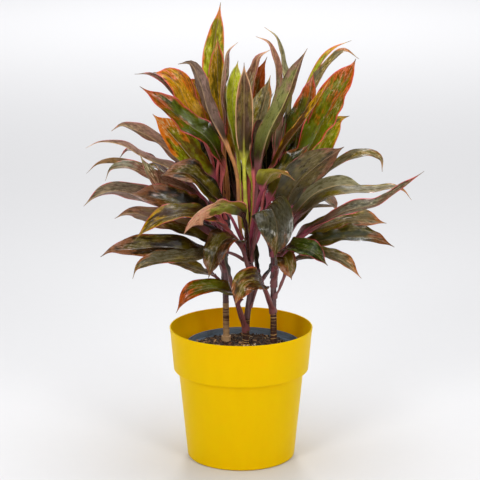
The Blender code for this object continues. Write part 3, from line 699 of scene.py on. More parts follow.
def weld(piece, fill=False):
    """Join vertices that meet, close open ends, and point the faces outward."""
    select_only(piece)
    bpy.ops.object.mode_set(mode="EDIT")
    bpy.ops.mesh.select_all(action="SELECT")
    bpy.ops.mesh.remove_doubles(threshold=0.01 * MM)
    if fill:
        bpy.ops.mesh.select_all(action="SELECT")
        bpy.ops.mesh.fill_holes(sides=0)
    bpy.ops.mesh.select_all(action="SELECT")
    bpy.ops.mesh.normals_make_consistent(inside=False)
    bpy.ops.object.mode_set(mode="OBJECT")


def store(piece, name, values, domain="POINT"):
    """A number or a vector for each vertex or face, for the material to read."""
    values = np.ascontiguousarray(values, dtype=np.float32)
    kind, key = ("FLOAT", "value") if values.ndim == 1 else ("FLOAT_VECTOR", "vector")
    layer = piece.data.attributes.new(name, kind, domain)
    layer.data.foreach_set(key, values.ravel())


def mesh_piece(name, points, faces, grain):
    """A piece from the points and faces of many small shapes."""
    mesh = bpy.data.meshes.new(name)
    mesh.from_pydata(points, [], faces)
    piece = bpy.data.objects.new(name, mesh)
    bpy.context.collection.objects.link(piece)
    store(piece, "grain", grain)
    return piece


def turned(name, centre, profile, steps):
    """A vessel raised from a disc, ring by ring, up its outside and down its inside."""
    radius, height = profile[0]
    select_only()
    bpy.ops.mesh.primitive_circle_add(vertices=steps, radius=radius, fill_type="NGON",
                                      location=(*centre, height))
    piece = bpy.context.object
    piece.name = name
    bpy.ops.object.transform_apply(location=True, rotation=True, scale=True)
    bpy.ops.object.mode_set(mode="EDIT")
    bpy.ops.mesh.select_all(action="SELECT")
    for (near, low), (far, high) in zip(profile, profile[1:]):
        bpy.ops.mesh.extrude_region_move()
        ratio = far / near
        bpy.ops.transform.resize(value=(ratio, ratio, 1.0), center_override=(*centre, low))
        bpy.ops.transform.translate(value=(0.0, 0.0, high - low))
    bpy.ops.object.mode_set(mode="OBJECT")
    weld(piece)
    return piece


def round_point(centre, radius, turn):
    """A point on a circle."""
    return centre[0] + radius * math.cos(turn), centre[1] + radius * math.sin(turn)


def arc(centre, radius, start, end, steps):
    """Points (radius, height) along a round, angles in degrees."""
    return [round_point(centre, radius, math.radians(start + (end - start) * step / steps))
            for step in range(steps + 1)]


def unit(vectors):
    """Vectors at length one."""
    return vectors / np.linalg.norm(vectors, axis=-1, keepdims=True)


def eased(value, low, high):
    """0 at low, 1 at high and smooth between, for numbers."""
    share = np.clip((value - low) / (high - low), 0.0, 1.0)
    return share * share * (3 - 2 * share)


def smooth(samples, knots, at):
    """Values at places between samples, on a smooth curve through each of them."""
    samples = np.asarray(samples, float)
    slopes = np.gradient(samples, knots, axis=0)
    low = np.clip(np.searchsorted(knots, at, side="right") - 1, 0, len(knots) - 2)
    span = knots[low + 1] - knots[low]
    t = (at - knots[low]) / span
    if samples.ndim > 1:
        span, t = span[:, None], t[:, None]
    return (samples[low] * (1 + 2 * t) * (1 - t) ** 2 + slopes[low] * span * t * (1 - t) ** 2
            + samples[low + 1] * t * t * (3 - 2 * t) + slopes[low + 1] * span * t * t * (t - 1))


# ---------------------------------------------------------------------------- the frame's shapes


def joined_points(node):
    """A CAD node's distinct points and, for each, its neighbours."""
    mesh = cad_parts[node].data
    spots = np.round(spots_of(mesh), 6)
    points, index = np.unique(spots, axis=0, return_inverse=True)
    index = index.ravel()
    near = [set() for _ in points]
    for face in mesh.polygons:
        corners = [int(index[vertex]) for vertex in face.vertices]
        for corner in corners:
            near[corner].update(corners)
    for place, beside in enumerate(near):
        beside.discard(place)
    return points, near


def levels(near, start):
    """Rings of points, each a step further over the surface from the start."""
    seen = set(start)
    rings = [sorted(start)]
    while True:
        ring = sorted({other for place in rings[-1] for other in near[place]} - seen)
        if not ring:
            return rings
        seen.update(ring)
        rings.append(ring)


@functools.cache
def cane_line(side):
    """The middle of a cane's rings from root to tip, and the radius of each."""
    points, near = joined_points(f"stem_{side}")
    lowest = points[:, 2].min()
    start = [place for place, point in enumerate(points) if point[2] < lowest + 1 * MM]
    rings = [points[ring] for ring in levels(near, start)]
    centres = np.array([ring.mean(axis=0) for ring in rings])
    radii = [np.linalg.norm(ring - centre, axis=1).mean() for ring, centre in zip(rings, centres)]
    return centres, np.array(radii)


def cane_at(side, height):
    """A cane's middle and radius at a height."""
    line, radii = cane_line(side)
    middle = np.array([np.interp(height, line[:, 2], line[:, part]) for part in range(3)])
    return middle, np.interp(height, line[:, 2], radii)


def run_along(points):
    """How far along a line each of its points lies."""
    steps = np.linalg.norm(np.diff(points, axis=0), axis=1)
    return np.concatenate([[0.0], np.cumsum(steps)])


class Spine:
    """What a leaf's shape follows: its centres, normals and half widths, base to tip."""

    def __init__(self, side, centres, normals, halves):
        self.cane = side
        self.centres = np.array(centres)
        self.normals = np.array(normals)
        self.halves = np.array(halves)


def spine_of_node(node):
    """A leaf node's spine. Its tip is where four edges meet furthest from the cane."""
    side = node.split("_")[1]
    line, _ = cane_line(side)
    points, near = joined_points(node)
    found = {}
    for place, beside in enumerate(near):
        rings = levels(near, [place]) if len(beside) == 4 else []
        if rings and all(len(ring) == 4 for ring in rings[1:]):
            found[place] = rings
    if not found:
        raise ValueError(f"{node} isn't made of rings of four points")
    tip = max(found, key=lambda place: np.linalg.norm(line - points[place], axis=1).min())
    centres, normals, halves = [], [], []
    for places in reversed(found[tip][1:]):
        ring = points[places]
        gaps = np.linalg.norm(ring[:, None] - ring[None], axis=2)
        first, last = np.unravel_index(gaps.argmax(), gaps.shape)
        others = [place for place in range(4) if place not in (first, last)]
        middle = (ring[first] + ring[last]) / 2
        top, keel = sorted(others, key=lambda other: np.linalg.norm(ring[other] - middle))
        centre = TOP_SHARE * ring[top] + (1 - TOP_SHARE) * ring[keel]
        normal = unit(ring[top] - ring[keel])
        centres.append(centre)
        normals.append(normal)
        halves.append(math.hypot(gaps[first, last] / 2, np.dot(middle - centre, normal)))
    return Spine(side, centres + [points[tip]], normals + normals[-1:], halves + [0.0])


def spine_of_route(side, height, facing, width, route, rings=14):
    """A young leaf's spine, from its place on the cane along its route."""
    axis, radius = cane_at(side, height * CM)
    turn = math.radians(facing)
    outward = np.array([math.cos(turn), math.sin(turn), 0.0])
    start = axis + outward * (radius + 2 * MM)
    points = np.array([start, start + (outward * 0.25 + (0, 0, 1)) * 2 * CM]
                      + [np.array(spot) * CM for spot in route])
    knots = run_along(points)
    shares = np.linspace(0.0, 1.0, rings)
    centres = smooth(points, knots, shares * knots[-1])
    forward = unit(np.gradient(centres, axis=0))
    neck = np.clip(knots[2] / knots[-1], 0.2, 0.42)
    normal = -outward
    normals, halves = [], []
    for share, ahead in zip(shares, forward):
        normal = unit(normal - ahead * np.dot(normal, ahead))
        normals.append(normal)
        blade = max(0.0, (share - neck) / (1 - neck))
        stalk = 2.5 + 1.5 * max(0.0, 1 - share / neck) ** 2
        lance = blade ** 0.75 * (1 - blade) / LANCE_PEAK * width * CM / MM / 2
        halves.append(max(lance, stalk * (1 - blade) ** 3) * MM)
    return Spine(side, centres, normals, halves)


# ---------------------------------------------------------------------------- leaves


def with_sheath(spine):
    """The spine led down onto its cane, where the petiole's base clasps it."""
    first = spine.centres[0]
    axis, radius = cane_at(spine.cane, first[2])
    outward = unit((first - axis) * (1.0, 1.0, 0.0))
    low = [cane_at(spine.cane, first[2] - SHEATH_DROP * share)[0] + outward * (radius + gap)
           for share, gap in SHEATH_STEPS]
    centres = np.vstack([low, spine.centres])
    normals = np.vstack([[-outward] * 2, spine.normals])
    halves = np.concatenate([[SHEATH_HALF, SHEATH_HALF * 0.8], spine.halves])
    return centres, normals, halves, run_along(centres), radius


def make_leaf(name, spine, seed, settings):
    """One leaf: a folded, waved blade with a midrib, on a channelled, clasping petiole."""
    draw = random.Random(seed)
    kind = name.removeprefix("blade_")
    centres, normals, halves, knots, cane_radius = with_sheath(spine)
    base, end = knots[2], knots[-1]
    sheath = np.linspace(0.0, base, SHEATH_ROWS, endpoint=False)
    rows = np.concatenate([sheath, np.linspace(base, end, LEAF_ROWS + 1 - SHEATH_ROWS)])
    middle = smooth(centres, knots, rows)
    ahead = unit(np.gradient(middle, rows, axis=0))
    normal = smooth(normals, knots, rows) * (-1.0 if kind in TURNED_OVER else 1.0)
    normal = unit(normal - ahead * np.sum(normal * ahead, axis=1, keepdims=True))
    side = np.cross(ahead, normal)
    half = np.maximum(smooth(halves, knots, rows), 0.0)

    # Where the petiole ends, and how far a row is into the blade or down in the sheath
    share = np.clip((rows - base) / (end - base), 0.0, 1.0)
    widening = (half > NECK_HALF) & (share > 0.12)
    neck = share[np.argmax(widening)] if widening.any() else 0.25
    if kind in LONG_NECKS:
        neck = LONG_NECKS[kind]
        half = np.where(share < neck, np.minimum(half, STALK_HALF),
                        half * (0.3 + 0.7 * eased(share, neck, neck + 0.15)))
    blade = np.clip((share - neck) / (1 - neck), 0.0, 1.0)
    in_blade = eased(blade, 0.0, 0.16)
    in_sheath = 1 - eased(rows, base * 0.6, base + 18 * MM)

    full = FULLNESS.get(kind, settings.fullness)
    half *= 1 + full * eased(blade, 0.35, 0.8)
    half *= 1 - 0.6 * eased(blade, 0.8 + 0.09 * full, 0.975)
    half *= 1 + 0.2 * (1 - in_blade) * (1 - in_sheath)
    half = np.maximum(half, TIP_HALF)

    crease = (1 - in_sheath) * (STALK_CREASE + BLADE_CREASE * in_blade)
    curl = in_sheath * half / (cane_radius + 1.4 * MM) \
        + (1 - in_sheath) * (1.0 - in_blade * (1.0 + settings.droop))
    waves = [(draw.uniform(1.6, 3.2), draw.uniform(0, 2 * math.pi)) for _ in range(4)]
    lift = settings.wave * draw.uniform(0.6, 1.3)

    def spread(shares):
        """The row of each vertex, and its reach from the midrib to the margin, -1 to 1."""
        cross = 2 * shares[:, 0] - 1
        row = np.round(shares[:, 1] * LEAF_ROWS).astype(int)
        return row, np.sign(cross) * np.abs(cross) ** CROWDING

    def place(u, v):
        row, reach = spread(np.stack([u, v], axis=1))
        far = np.abs(reach)
        steps = np.linspace(0.0, 1.0, 9)[:, None]
        angle = crease[row] + curl[row] * far * (steps[1:] + steps[:-1]) / 2
        out = np.cos(angle).mean(axis=0) * reach * half[row]
        rise = np.sin(angle).mean(axis=0) * far * half[row]
        ripple = np.zeros_like(u)
        for index, (count, phase) in enumerate(waves):
            here = (reach > 0) == index % 2
            size, pace = (1.0, count) if index < 2 else (0.45, count * 2.1)
            ripple += here * size * np.sin(2 * math.pi * pace * blade[row] + phase)
        rise += ripple * lift * half[row] * far ** 1.7 * in_blade[row] * (1 - blade[row]) ** 0.3
        dip = settings.groove * np.exp(-(reach * half[row] / GROOVE_HALF) ** 2)
        rise -= dip * in_blade[row] * (1 - 0.7 * blade[row])
        return middle[row] + side[row] * out[:, None] + normal[row] * rise[:, None]

    piece, shares = grid(name, LEAF_COLUMNS, LEAF_ROWS, place)
    row, reach = spread(shares)
    across = reach * half[row] / MM
    sweep = rows[row] / MM - np.abs(across) * VEIN_SLOPE
    store(piece, "grain", np.stack([across, sweep, np.full_like(across, seed * 1.37)], axis=1))
    inset = (1 - np.abs(reach)) * half[row] / MM
    inset = inset + 20.0 * (1 - in_blade[row]) * np.abs(1 - blade[row])
    fading = 1 - eased(blade[row], 0.0, 0.34)
    store(piece, "blade", np.stack([inset, blade[row], fading], axis=1))

    rib = np.exp(-(across / 1.5) ** 2)
    lamina = settings.blade_thickness * (1 - 0.3 * blade[row])
    lamina += rib * 1.5 * MM * (1 - blade[row]) ** 0.8
    stalk = (THICKEST - in_sheath[row] * 1.6 * MM) * (1 - 0.62 * np.abs(reach) ** 1.5)
    thicken(piece, (lamina * in_blade[row] + stalk * (1 - in_blade[row])) / THICKEST)
    return piece


def thicken(piece, weights):
    """Give a thin shape its thickness below, and mark its under side."""
    group = piece.vertex_groups.new(name="thickness")
    steps = np.round(np.clip(weights, 0.02, 1.0) * THICKNESS_STEPS).astype(int)
    for step in np.unique(steps):
        group.add(np.nonzero(steps == step)[0].tolist(), step / THICKNESS_STEPS, "REPLACE")
    upper = len(piece.data.polygons)
    apply_modifier(piece, "SOLIDIFY", thickness=THICKEST, offset=-1.0, vertex_group=group.name,
                   use_quality_normals=True)
    piece.vertex_groups.clear()
    store(piece, "under", np.arange(len(piece.data.polygons)) >= upper, "FACE")


# ---------------------------------------------------------------------------- settings


class PotSettings(bpy.types.PropertyGroup):
    """The planter and the nursery pot."""

    colour: a_colour("Planter", "Colour of the planter", 238, 192, 0)
    roughness: a_share("Roughness", "How dull the planter is", 0.36)
    nursery: a_colour("Nursery pot", "Colour of the inner pot", 118, 134, 150)
    wall: a_length("Wall", "Thickness of the planter's wall", 2.5, 1, 5)
    segments: a_count("Segments", "Steps round the planter", 160, 48, 256)


class LeafSettings(bpy.types.PropertyGroup):
    """The leaves' shape and palette."""

    wave: a_share("Wave", "Height of the margin's waves, per half width", 0.15, 0.4)
    droop: a_share("Droop", "How far the sides bend down", 0.45, 1.5)
    fullness: a_share("Fullness", "Extra width of the outer half", 0.35)
    groove: a_length("Groove", "Depth of the groove over the midrib", 0.5, 0, 2)
    blade_thickness: a_length("Thickness", "Thickness of the blade", 0.5, 0.2, 2)
    vein_spacing: a_length("Veins", "Spacing of the side veins", 7.0, 0.5, 20)
    margin_width: a_length("Margin", "Width of the coloured margin", 1.1, 0.2, 4)
    gloss: a_share("Roughness", "How dull a leaf is", 0.22)
    # Strength of the pale flecks painted on as highlights
    painted_glint_share: a_share("Bleaching", "How strong the pale flecks are", 0.5)
    shine: a_share("Shine", "How strong the leaves' waxy coat is", 0.6)
    translucency: a_share("Translucency", "Share of light let through", 0.2)
    # Nearly black tone of the inner fill leaves: painted shade
    night: a_colour("Night", "Nearly black green", 22, 22, 6)
    green: a_colour("Green", "Clear green", 92, 126, 8)
    deep_green: a_colour("Deep green", "Darkest green", 42, 56, 5)
    leaf_green: a_colour("Leaf green", "Fresh green", 92, 110, 4)
    lime: a_colour("Lime", "Brightest green", 164, 176, 40)
    olive: a_colour("Olive", "Olive", 104, 92, 4)
    ochre: a_colour("Ochre", "Yellow brown", 192, 148, 14)
    orange: a_colour("Orange", "Orange brown", 192, 88, 20)
    peach: a_colour("Peach", "Pale orange", 165, 116, 90)
    bronze: a_colour("Bronze", "Bronze brown", 146, 86, 42)
    umber: a_colour("Umber", "Dark brown", 64, 40, 15)
    mauve: a_colour("Mauve", "Mauve brown", 114, 78, 62)
    maroon: a_colour("Maroon", "Dark red", 110, 46, 36)
    slate: a_colour("Slate", "Grey green", 96, 92, 68)
    underside: a_colour("Underside", "Under side", 150, 118, 104)
    underside_deep: a_colour("Underside deep", "Under side, darker", 112, 86, 68)
    # Tone of the pale flecks painted on as highlights
    painted_glint: a_colour("Pale flecks", "Flecks of waxy bloom", 206, 180, 140)
    rib: a_colour("Midrib", "Midrib", 150, 124, 84)
    margin: a_colour("Margin", "Margin", 206, 80, 84)
    margin_pale: a_colour("Pale margin", "Margin of the palest leaves", 226, 164, 120)
    dry_tip: a_colour("Dry tip", "Dry end of the tip", 96, 78, 60)
    petiole_magenta: a_colour("Magenta petiole", "Petiole", 172, 74, 96)
    petiole_pink: a_colour("Pink petiole", "Petiole", 216, 104, 104)
    petiole_peach: a_colour("Peach petiole", "Petiole", 208, 142, 82)
    petiole_lime: a_colour("Lime petiole", "Petiole", 214, 214, 70)
    petiole_mauve: a_colour("Mauve petiole", "Petiole", 128, 72, 76)
    petiole_maroon: a_colour("Maroon petiole", "Petiole", 58, 24, 22)


class CaneSettings(bpy.types.PropertyGroup):
    """The canes."""

    scar_spacing: a_length("Scars", "Spacing of the leaf scars", 6.4, 2, 20)
    bark_dark: a_colour("Bark dark", "Darkest bark", 50, 24, 14)
    bark_brown: a_colour("Bark", "Bark", 82, 44, 26)
    bark_tan: a_colour("Bark tan", "Pale bark", 186, 148, 104)
    scar_pale: a_colour("Scar", "Leaf scars", 222, 176, 108)
    young_cane: a_colour("Young cane", "Upper cane", 124, 92, 92)
    young_cane_deep: a_colour("Young cane deep", "Upper cane, darker", 84, 54, 54)


class SoilSettings(bpy.types.PropertyGroup):
    """The soil and what lies on it."""

    crumbs: a_count("Crumbs", "How many", 1500, 0, 3000)
    chips: a_count("Bark chips", "How many", 220, 0, 900)
    golden: a_count("Golden bits", "How many", 70, 0, 400)
    fibres: a_count("Fibres", "How many", 110, 0, 300)
    soil_dark: a_colour("Soil dark", "Damp soil", 34, 22, 12)
    soil_light: a_colour("Soil light", "Drier soil", 80, 54, 30)
    bark_dark: a_colour("Chips dark", "Dark chips", 54, 32, 16)
    bark_red: a_colour("Chips red", "Reddish chips", 130, 86, 52)
    bark_tan: a_colour("Chips tan", "Pale chips", 192, 148, 98)
    gold: a_colour("Gold", "Golden bits", 214, 160, 60)
    perlite: a_colour("Perlite", "Palest bits", 232, 220, 196)
    root: a_colour("Roots", "Root loops", 206, 182, 146)


class StageSettings(bpy.types.PropertyGroup):
    """The studio."""

    paper: a_colour("Paper", "Colour of the floor and backdrop", 219, 219, 221)
    overhead: a_power("Overhead", "Power of the overhead light", 29.5)
    key: a_power("Key", "Power of the front left light", 36.0)
    fill: a_power("Fill", "Power of the right light", 31.0)
    backdrop: a_power("Backdrop", "Power of the backdrop's light", 345.0)
    ambient: a_share("Ambient", "Light from all round", 0.5, 2.0)


# ---------------------------------------------------------------------------- operators


class TIPLANT_OT_cachepot(bpy.types.Operator):
    """Model the planter: a tapered body, a stepped collar and a rolled, flared lip"""

    bl_idname = "tiplant.cachepot"
    bl_label = "Planter"

    def execute(self, context):
        settings = context.scene.ti_pots
        wall = settings.wall
        foot = COLLAR_FOOT_HEIGHT
        lip = RIM_RADIUS - LIP_INSET
        profile = arc((BASE_RADIUS - BASE_FILLET, BASE_FILLET), BASE_FILLET, -90, -4, 8)
        profile += arc((BODY_TOP_RADIUS + STEP_FILLET, foot - STEP_FILLET), STEP_FILLET,
                       180, 90, 4)
        profile += arc((COLLAR_FOOT_RADIUS - COLLAR_FILLET, foot + COLLAR_FILLET),
                       COLLAR_FILLET, -90, -2, 6)
        profile += [(COLLAR_FOOT_RADIUS + (lip - COLLAR_FOOT_RADIUS) * share,
                     foot + (POT_HEIGHT - LIP_BELOW - foot) * share) for share in (0.3, 0.6, 0.9)]
        profile += arc((RIM_RADIUS - LIP_RADIUS, POT_HEIGHT - LIP_RADIUS), LIP_RADIUS,
                       -10, 190, 12)
        profile += [(lip - wall, POT_HEIGHT - LIP_BELOW - 1 * MM),
                    (COLLAR_FOOT_RADIUS - wall, foot), (BODY_TOP_RADIUS - wall, foot - wall)]
        profile += arc((BASE_RADIUS - wall - BASE_FILLET, POT_FLOOR + BASE_FILLET),
                       BASE_FILLET, -4, -90, 6)
        piece = turned("planter", (0.0, 0.0), profile, settings.segments)
        material = gloss_plastic("planter_plastic", settings.colour, settings.roughness)
        finished(piece, material, "cachepot", 34, "cachepot")
        return {"FINISHED"}


class TIPLANT_OT_nursery_pot(bpy.types.Operator):
    """Model the thin inner pot: a tapered wall, a banded rim and drain holes"""

    bl_idname = "tiplant.nursery_pot"
    bl_label = "Nursery pot"

    def execute(self, context):
        low, top = NURSERY_LOW.z, NURSERY_HIGH.z
        band = top - NURSERY_BAND
        base, neck, rim = NURSERY_BASE_RADIUS, NURSERY_NECK_RADIUS, NURSERY_RIM_RADIUS
        wall = NURSERY_WALL
        profile = [(base - 1 * MM, low), (base, low + 1 * MM), (neck, band),
                   (rim - 0.3 * MM, band + 0.6 * MM), (rim, band + 1.2 * MM)]
        profile += arc((rim - wall / 2, top - wall / 2), wall / 2, 0, 180, 6)
        profile += [(rim - wall, band + 1 * MM), (neck - wall, band),
                    (base - wall, low + wall + 1 * MM), (base - wall - 1 * MM, low + wall)]
        piece = turned("inner_pot", NURSERY_CENTRE, profile, 120)
        for hole in range(DRAIN_HOLES):
            turn = 2 * math.pi * hole / DRAIN_HOLES
            self.drill(piece, (*round_point(NURSERY_CENTRE, DRAIN_CIRCLE, turn), low))
        material = dull_plastic("nursery_plastic", context.scene.ti_pots.nursery)
        finished(piece, material, "nursery_pot", 34, "nursery_pot")
        return {"FINISHED"}

    def drill(self, piece, place):
        """One drain hole through the floor of the pot."""
        select_only()
        bpy.ops.mesh.primitive_cylinder_add(vertices=20, radius=DRAIN_RADIUS, depth=8 * MM,
                                            location=place)
        cutter = bpy.context.object
        apply_modifier(piece, "BOOLEAN", operation="DIFFERENCE", object=cutter)
        bpy.data.objects.remove(cutter)


def soil_height(x, y):
    """Height of the soil's top: the frame's low mound and lumps, with finer clods."""
    away = math.hypot(x - MOUND_CENTRE[0], y - MOUND_CENTRE[1]) / MOUND_RADIUS
    lumps = math.sin(x * 90 + 1) * math.cos(y * 75) + 0.6 * math.sin(x * 210 + y * 160)
    clods = noise.fractal(Vector((x, y, 0.0)) * 90, 0.9, 2.1, 4)
    return SOIL_LEVEL + SOIL_MOUND * math.exp(-away * away) + (lumps + 1.6 * clods) * MM


def shape_arrays(kind, **sizes):
    """The vertices and faces of a small shape made by a primitive and then taken away."""
    select_only()
    getattr(bpy.ops.mesh, kind)(**sizes)
    piece = bpy.context.object
    mesh = piece.data
    shape = spots_of(mesh), [tuple(face.vertices) for face in mesh.polygons]
    bpy.data.objects.remove(piece)
    bpy.data.meshes.remove(mesh)
    return shape


def scatter(name, shape, places, draw):
    """Copies of a small shape in one piece, each turned, sized and roughened in its own way.

    A place is a spot and a size along each axis."""
    points, faces = shape
    all_points, all_faces, grain = [], [], []
    for spot, size in places:
        turn = draw.uniform(0, 2 * math.pi)
        tilt = draw.uniform(-LEAN, LEAN)
        roll = draw.uniform(-LEAN, LEAN)
        sized = points * np.array(size)
        copy = sized * np.array([[draw.uniform(1 - ROUGHEN, 1 + ROUGHEN) for _ in range(3)]
                                 for _ in sized])
        copy = copy @ np.array(Euler((roll, tilt, turn)).to_matrix()).T + np.array(spot)
        start = len(all_points)
        all_points += [tuple(point) for point in copy]
        all_faces += [tuple(start + corner for corner in face) for face in faces]
        tone = draw.random()
        grain += [(tone, point[0] / MM, tone) for point in sized]
    return mesh_piece(name, all_points, all_faces, grain)


def soil_spot(draw, reach=0.93):
    """A random place on the soil, clear of its edge."""
    radius = (NURSERY_RIM_RADIUS - 4 * MM) * reach * math.sqrt(draw.random())
    return round_point(NURSERY_CENTRE, radius, draw.uniform(0, 2 * math.pi))


class TIPLANT_OT_soil(bpy.types.Operator):
    """Model the soil, with bark chips, fibres and pale grains on it"""

    bl_idname = "tiplant.soil"
    bl_label = "Soil"

    def execute(self, context):
        settings = context.scene.ti_soil
        low_radius = NURSERY_BASE_RADIUS - NURSERY_WALL - 1 * MM
        top_radius = (SOIL_HIGH.x - SOIL_LOW.x) / 2

        def place(u, v):
            turn = 2 * math.pi * u
            ring = np.round(v * SOIL_RINGS)
            radius = np.clip((ring - 1) / (SOIL_RINGS - 2), 0.0, 1.0) * top_radius
            radius = np.where(ring == 0, 0.0, radius)
            radius = np.where(ring == SOIL_RINGS, low_radius, radius)
            x = NURSERY_CENTRE[0] + radius * np.cos(turn)
            y = NURSERY_CENTRE[1] + radius * np.sin(turn)
            z = np.array([soil_height(a, b) for a, b in zip(x, y)])
            z -= 5 * MM * eased(radius, top_radius - 6 * MM, top_radius)
            return np.stack([x, y, np.where(ring == SOIL_RINGS, SOIL_LOW.z, z)], axis=1)

        piece, _ = grid("potting_soil", 96, SOIL_RINGS, place)
        weld(piece, fill=True)
        finished(piece, soil_finish(settings), "soil", 60, "soil")
        draw = random.Random(5)
        self.litter(settings, draw)
        self.strands(settings, draw)
        return {"FINISHED"}

    def litter(self, settings, draw):
        """What lies on the soil: crumbs, bark, and golden bits heaped by the middle cane."""
        crumb = shape_arrays("primitive_ico_sphere_add", subdivisions=1, radius=0.5)
        sliver = shape_arrays("primitive_cube_add", size=1.0)
        dark, red, tan = settings.bark_dark, settings.bark_red, settings.bark_tan
        # Name, shape, how many, least and most length (mm), width and height as shares of the
        # length, and three tones
        kinds = (("soil_crumbs", crumb, settings.crumbs, (1.2, 3.8), (0.7, 1.0), (0.5, 0.9),
                  (settings.soil_dark, settings.soil_light, dark)),
                 ("bark_chips", sliver, settings.chips, (2.5, 8.5), (0.2, 0.55), (0.12, 0.3),
                  (dark, red, tan)),
                 ("golden_bits", crumb, settings.golden, (1.6, 4.8), (0.5, 1.0), (0.4, 0.8),
                  (tan, settings.gold, settings.perlite)))
        heap = cane_line("middle")[0][0]
        for name, shape, count, (least, most), broad, tall, tones in kinds:
            places = []
            for _ in range(count):
                x, y = soil_spot(draw)
                if name == "golden_bits":
                    x, y = (heap[part] + draw.gauss(*GOLDEN_HEAP[part]) for part in range(2))
                long = draw.uniform(least, most) * MM
                size = (long, long * draw.uniform(*broad), long * draw.uniform(*tall))
                places.append(((x, y, soil_height(x, y) + size[2] * 0.3), size))
            piece = scatter(name, shape, places, draw)
            finished(piece, bits_finish(name, *tones, 0.85), "soil", 25)

    def strands(self, settings, draw):
        """Fine fibres lying about, and a few paler roots that loop out of the soil."""
        points, faces, grain = [], [], []
        for number in range(settings.fibres + ROOT_LOOPS):
            root = number >= settings.fibres
            x, y = soil_spot(draw, 0.85)
            if root:
                x, y = (draw.uniform(*reach) * MM for reach in ROOTS_WITHIN)
            length = draw.uniform(*((14, 26) if root else (6, 20))) * MM
            thick = draw.uniform(*((0.7, 1.0) if root else (0.18, 0.4))) * MM
            turn, bend = draw.uniform(0, 2 * math.pi), draw.uniform(-4.5, 4.5)
            tone, rise = draw.random(), draw.uniform(3, 8) * MM if root else 0.8 * MM
            start = len(points)
            for step in range(STRAND_STEPS + 1):
                share = step / STRAND_STEPS
                heading = turn + bend * share
                x, y = round_point((x, y), length / STRAND_STEPS, heading)
                height = soil_height(x, y) + 0.6 * MM + rise * math.sin(math.pi * share)
                for corner in range(4):
                    out, up = round_point((0.0, height), thick, math.pi / 2 * corner)
                    points.append((x - math.sin(heading) * out, y + math.cos(heading) * out, up))
                    grain.append((0.9 if root else tone, share * length / MM, tone))
            for low in range(start, start + 4 * STRAND_STEPS, 4):
                for corner in range(4):
                    first, other = low + corner, low + (corner + 1) % 4
                    faces.append((first, other, other + 4, first + 4))
            last = start + 4 * STRAND_STEPS
            faces += [(start + 3, start + 2, start + 1, start), tuple(range(last, last + 4))]
        piece = mesh_piece("soil_fibres", points, faces, grain)
        material = bits_finish("soil_fibre", settings.bark_red, settings.bark_tan,
                               settings.root, 0.8)
        finished(piece, material, "soil", 60)


class TIPLANT_OT_canes(bpy.types.Operator):
    """Model the three canes with their leaf scars"""

    bl_idname = "tiplant.canes"
    bl_label = "Canes"

    def execute(self, context):
        settings = context.scene.ti_canes
        material = cane_finish(settings)
        for seed, side in enumerate(CANES):
            piece = self.cane(side, seed, settings)
            finished(piece, material, "stem", 50, f"stem_{side}")
        return {"FINISHED"}

    def cane(self, side, seed, settings):
        """One cane: a tube along its line, with a low ridge at each leaf scar."""
        line, radii = cane_line(side)
        knots = run_along(line)
        rows = int(knots[-1] / CANE_STEP)
        at = np.linspace(0.0, knots[-1], rows + 1)
        middle = smooth(line, knots, at)
        radius = np.interp(at, knots, radii)
        ahead = unit(np.gradient(middle, at, axis=0))
        side_on = unit(np.cross(ahead, (0.0, 1.0, 0.0)))
        front = np.cross(ahead, side_on)
        draw = random.Random(seed + 40)
        scars = []
        height = 0.0
        while height < knots[-1]:
            height += settings.scar_spacing * draw.uniform(0.7, 1.3)
            scars.append((height, draw.uniform(0, 2 * math.pi), draw.uniform(0.6, 1.0)))

        # The left cane grows from a corky stump of its own
        stump = np.where(middle[:, 2] < STUMP_TOP, STUMP_RADIUS, 0.0) * (side == "left")

        def ridge(turn, row):
            """How strongly the nearest scar stands out."""
            total = np.zeros_like(turn)
            for height, phase, strength in scars:
                off = at[row] - height - SCAR_SLANT * np.cos(turn - phase)
                total = np.maximum(total, strength * np.exp(-(off / SCAR_HALF) ** 2))
            return total

        def place(u, v):
            row = np.round(v * rows).astype(int)
            turn = 2 * math.pi * u
            spots = np.stack([np.cos(turn) * 1.3, np.sin(turn) * 1.3, at[row] * 70 + seed])
            lumps = np.array([noise.noise(Vector(spot)) for spot in spots.T])
            swell = radius[row] * (1 + LUMPINESS * lumps) + SCAR_RISE * ridge(turn, row)
            swell = np.maximum(swell - SKIN_INSET, stump[row] * (1 + STUMP_LUMPINESS * lumps))
            return middle[row] + side_on[row] * (swell * np.cos(turn))[:, None] \
                + front[row] * (swell * np.sin(turn))[:, None]

        piece, shares = grid(f"cane_{side}", 28, rows, place)
        row = np.round(shares[:, 1] * rows).astype(int)
        top = BARK_TOPS[side]
        age = 1 - eased(middle[row][:, 2], top - 8 * MM, top + 8 * MM)
        cork = np.full_like(age, side == "left")
        scar = ridge(2 * math.pi * shares[:, 0], row) * (stump[row] == 0)
        store(piece, "grain", np.stack([scar, age, cork], axis=1))
        weld(piece, fill=True)
        return piece


class TIPLANT_OT_leaves(bpy.types.Operator):
    """Model the leaves that stand for the frame's leaf solids"""

    bl_idname = "tiplant.leaves"
    bl_label = "Leaves"

    def execute(self, context):
        settings = context.scene.ti_leaves
        leaves = [(f"{side}_{number:02d}", words) for side, looks in LEAF_LOOKS.items()
                  for number, words in enumerate(looks, 1)]
        for seed, (name, words) in enumerate(leaves, 1):
            node = f"leaf_{name}"
            piece = make_leaf(f"blade_{name}", spine_of_node(node), seed, settings)
            dress_leaf(piece, settings, words, node)
        return {"FINISHED"}


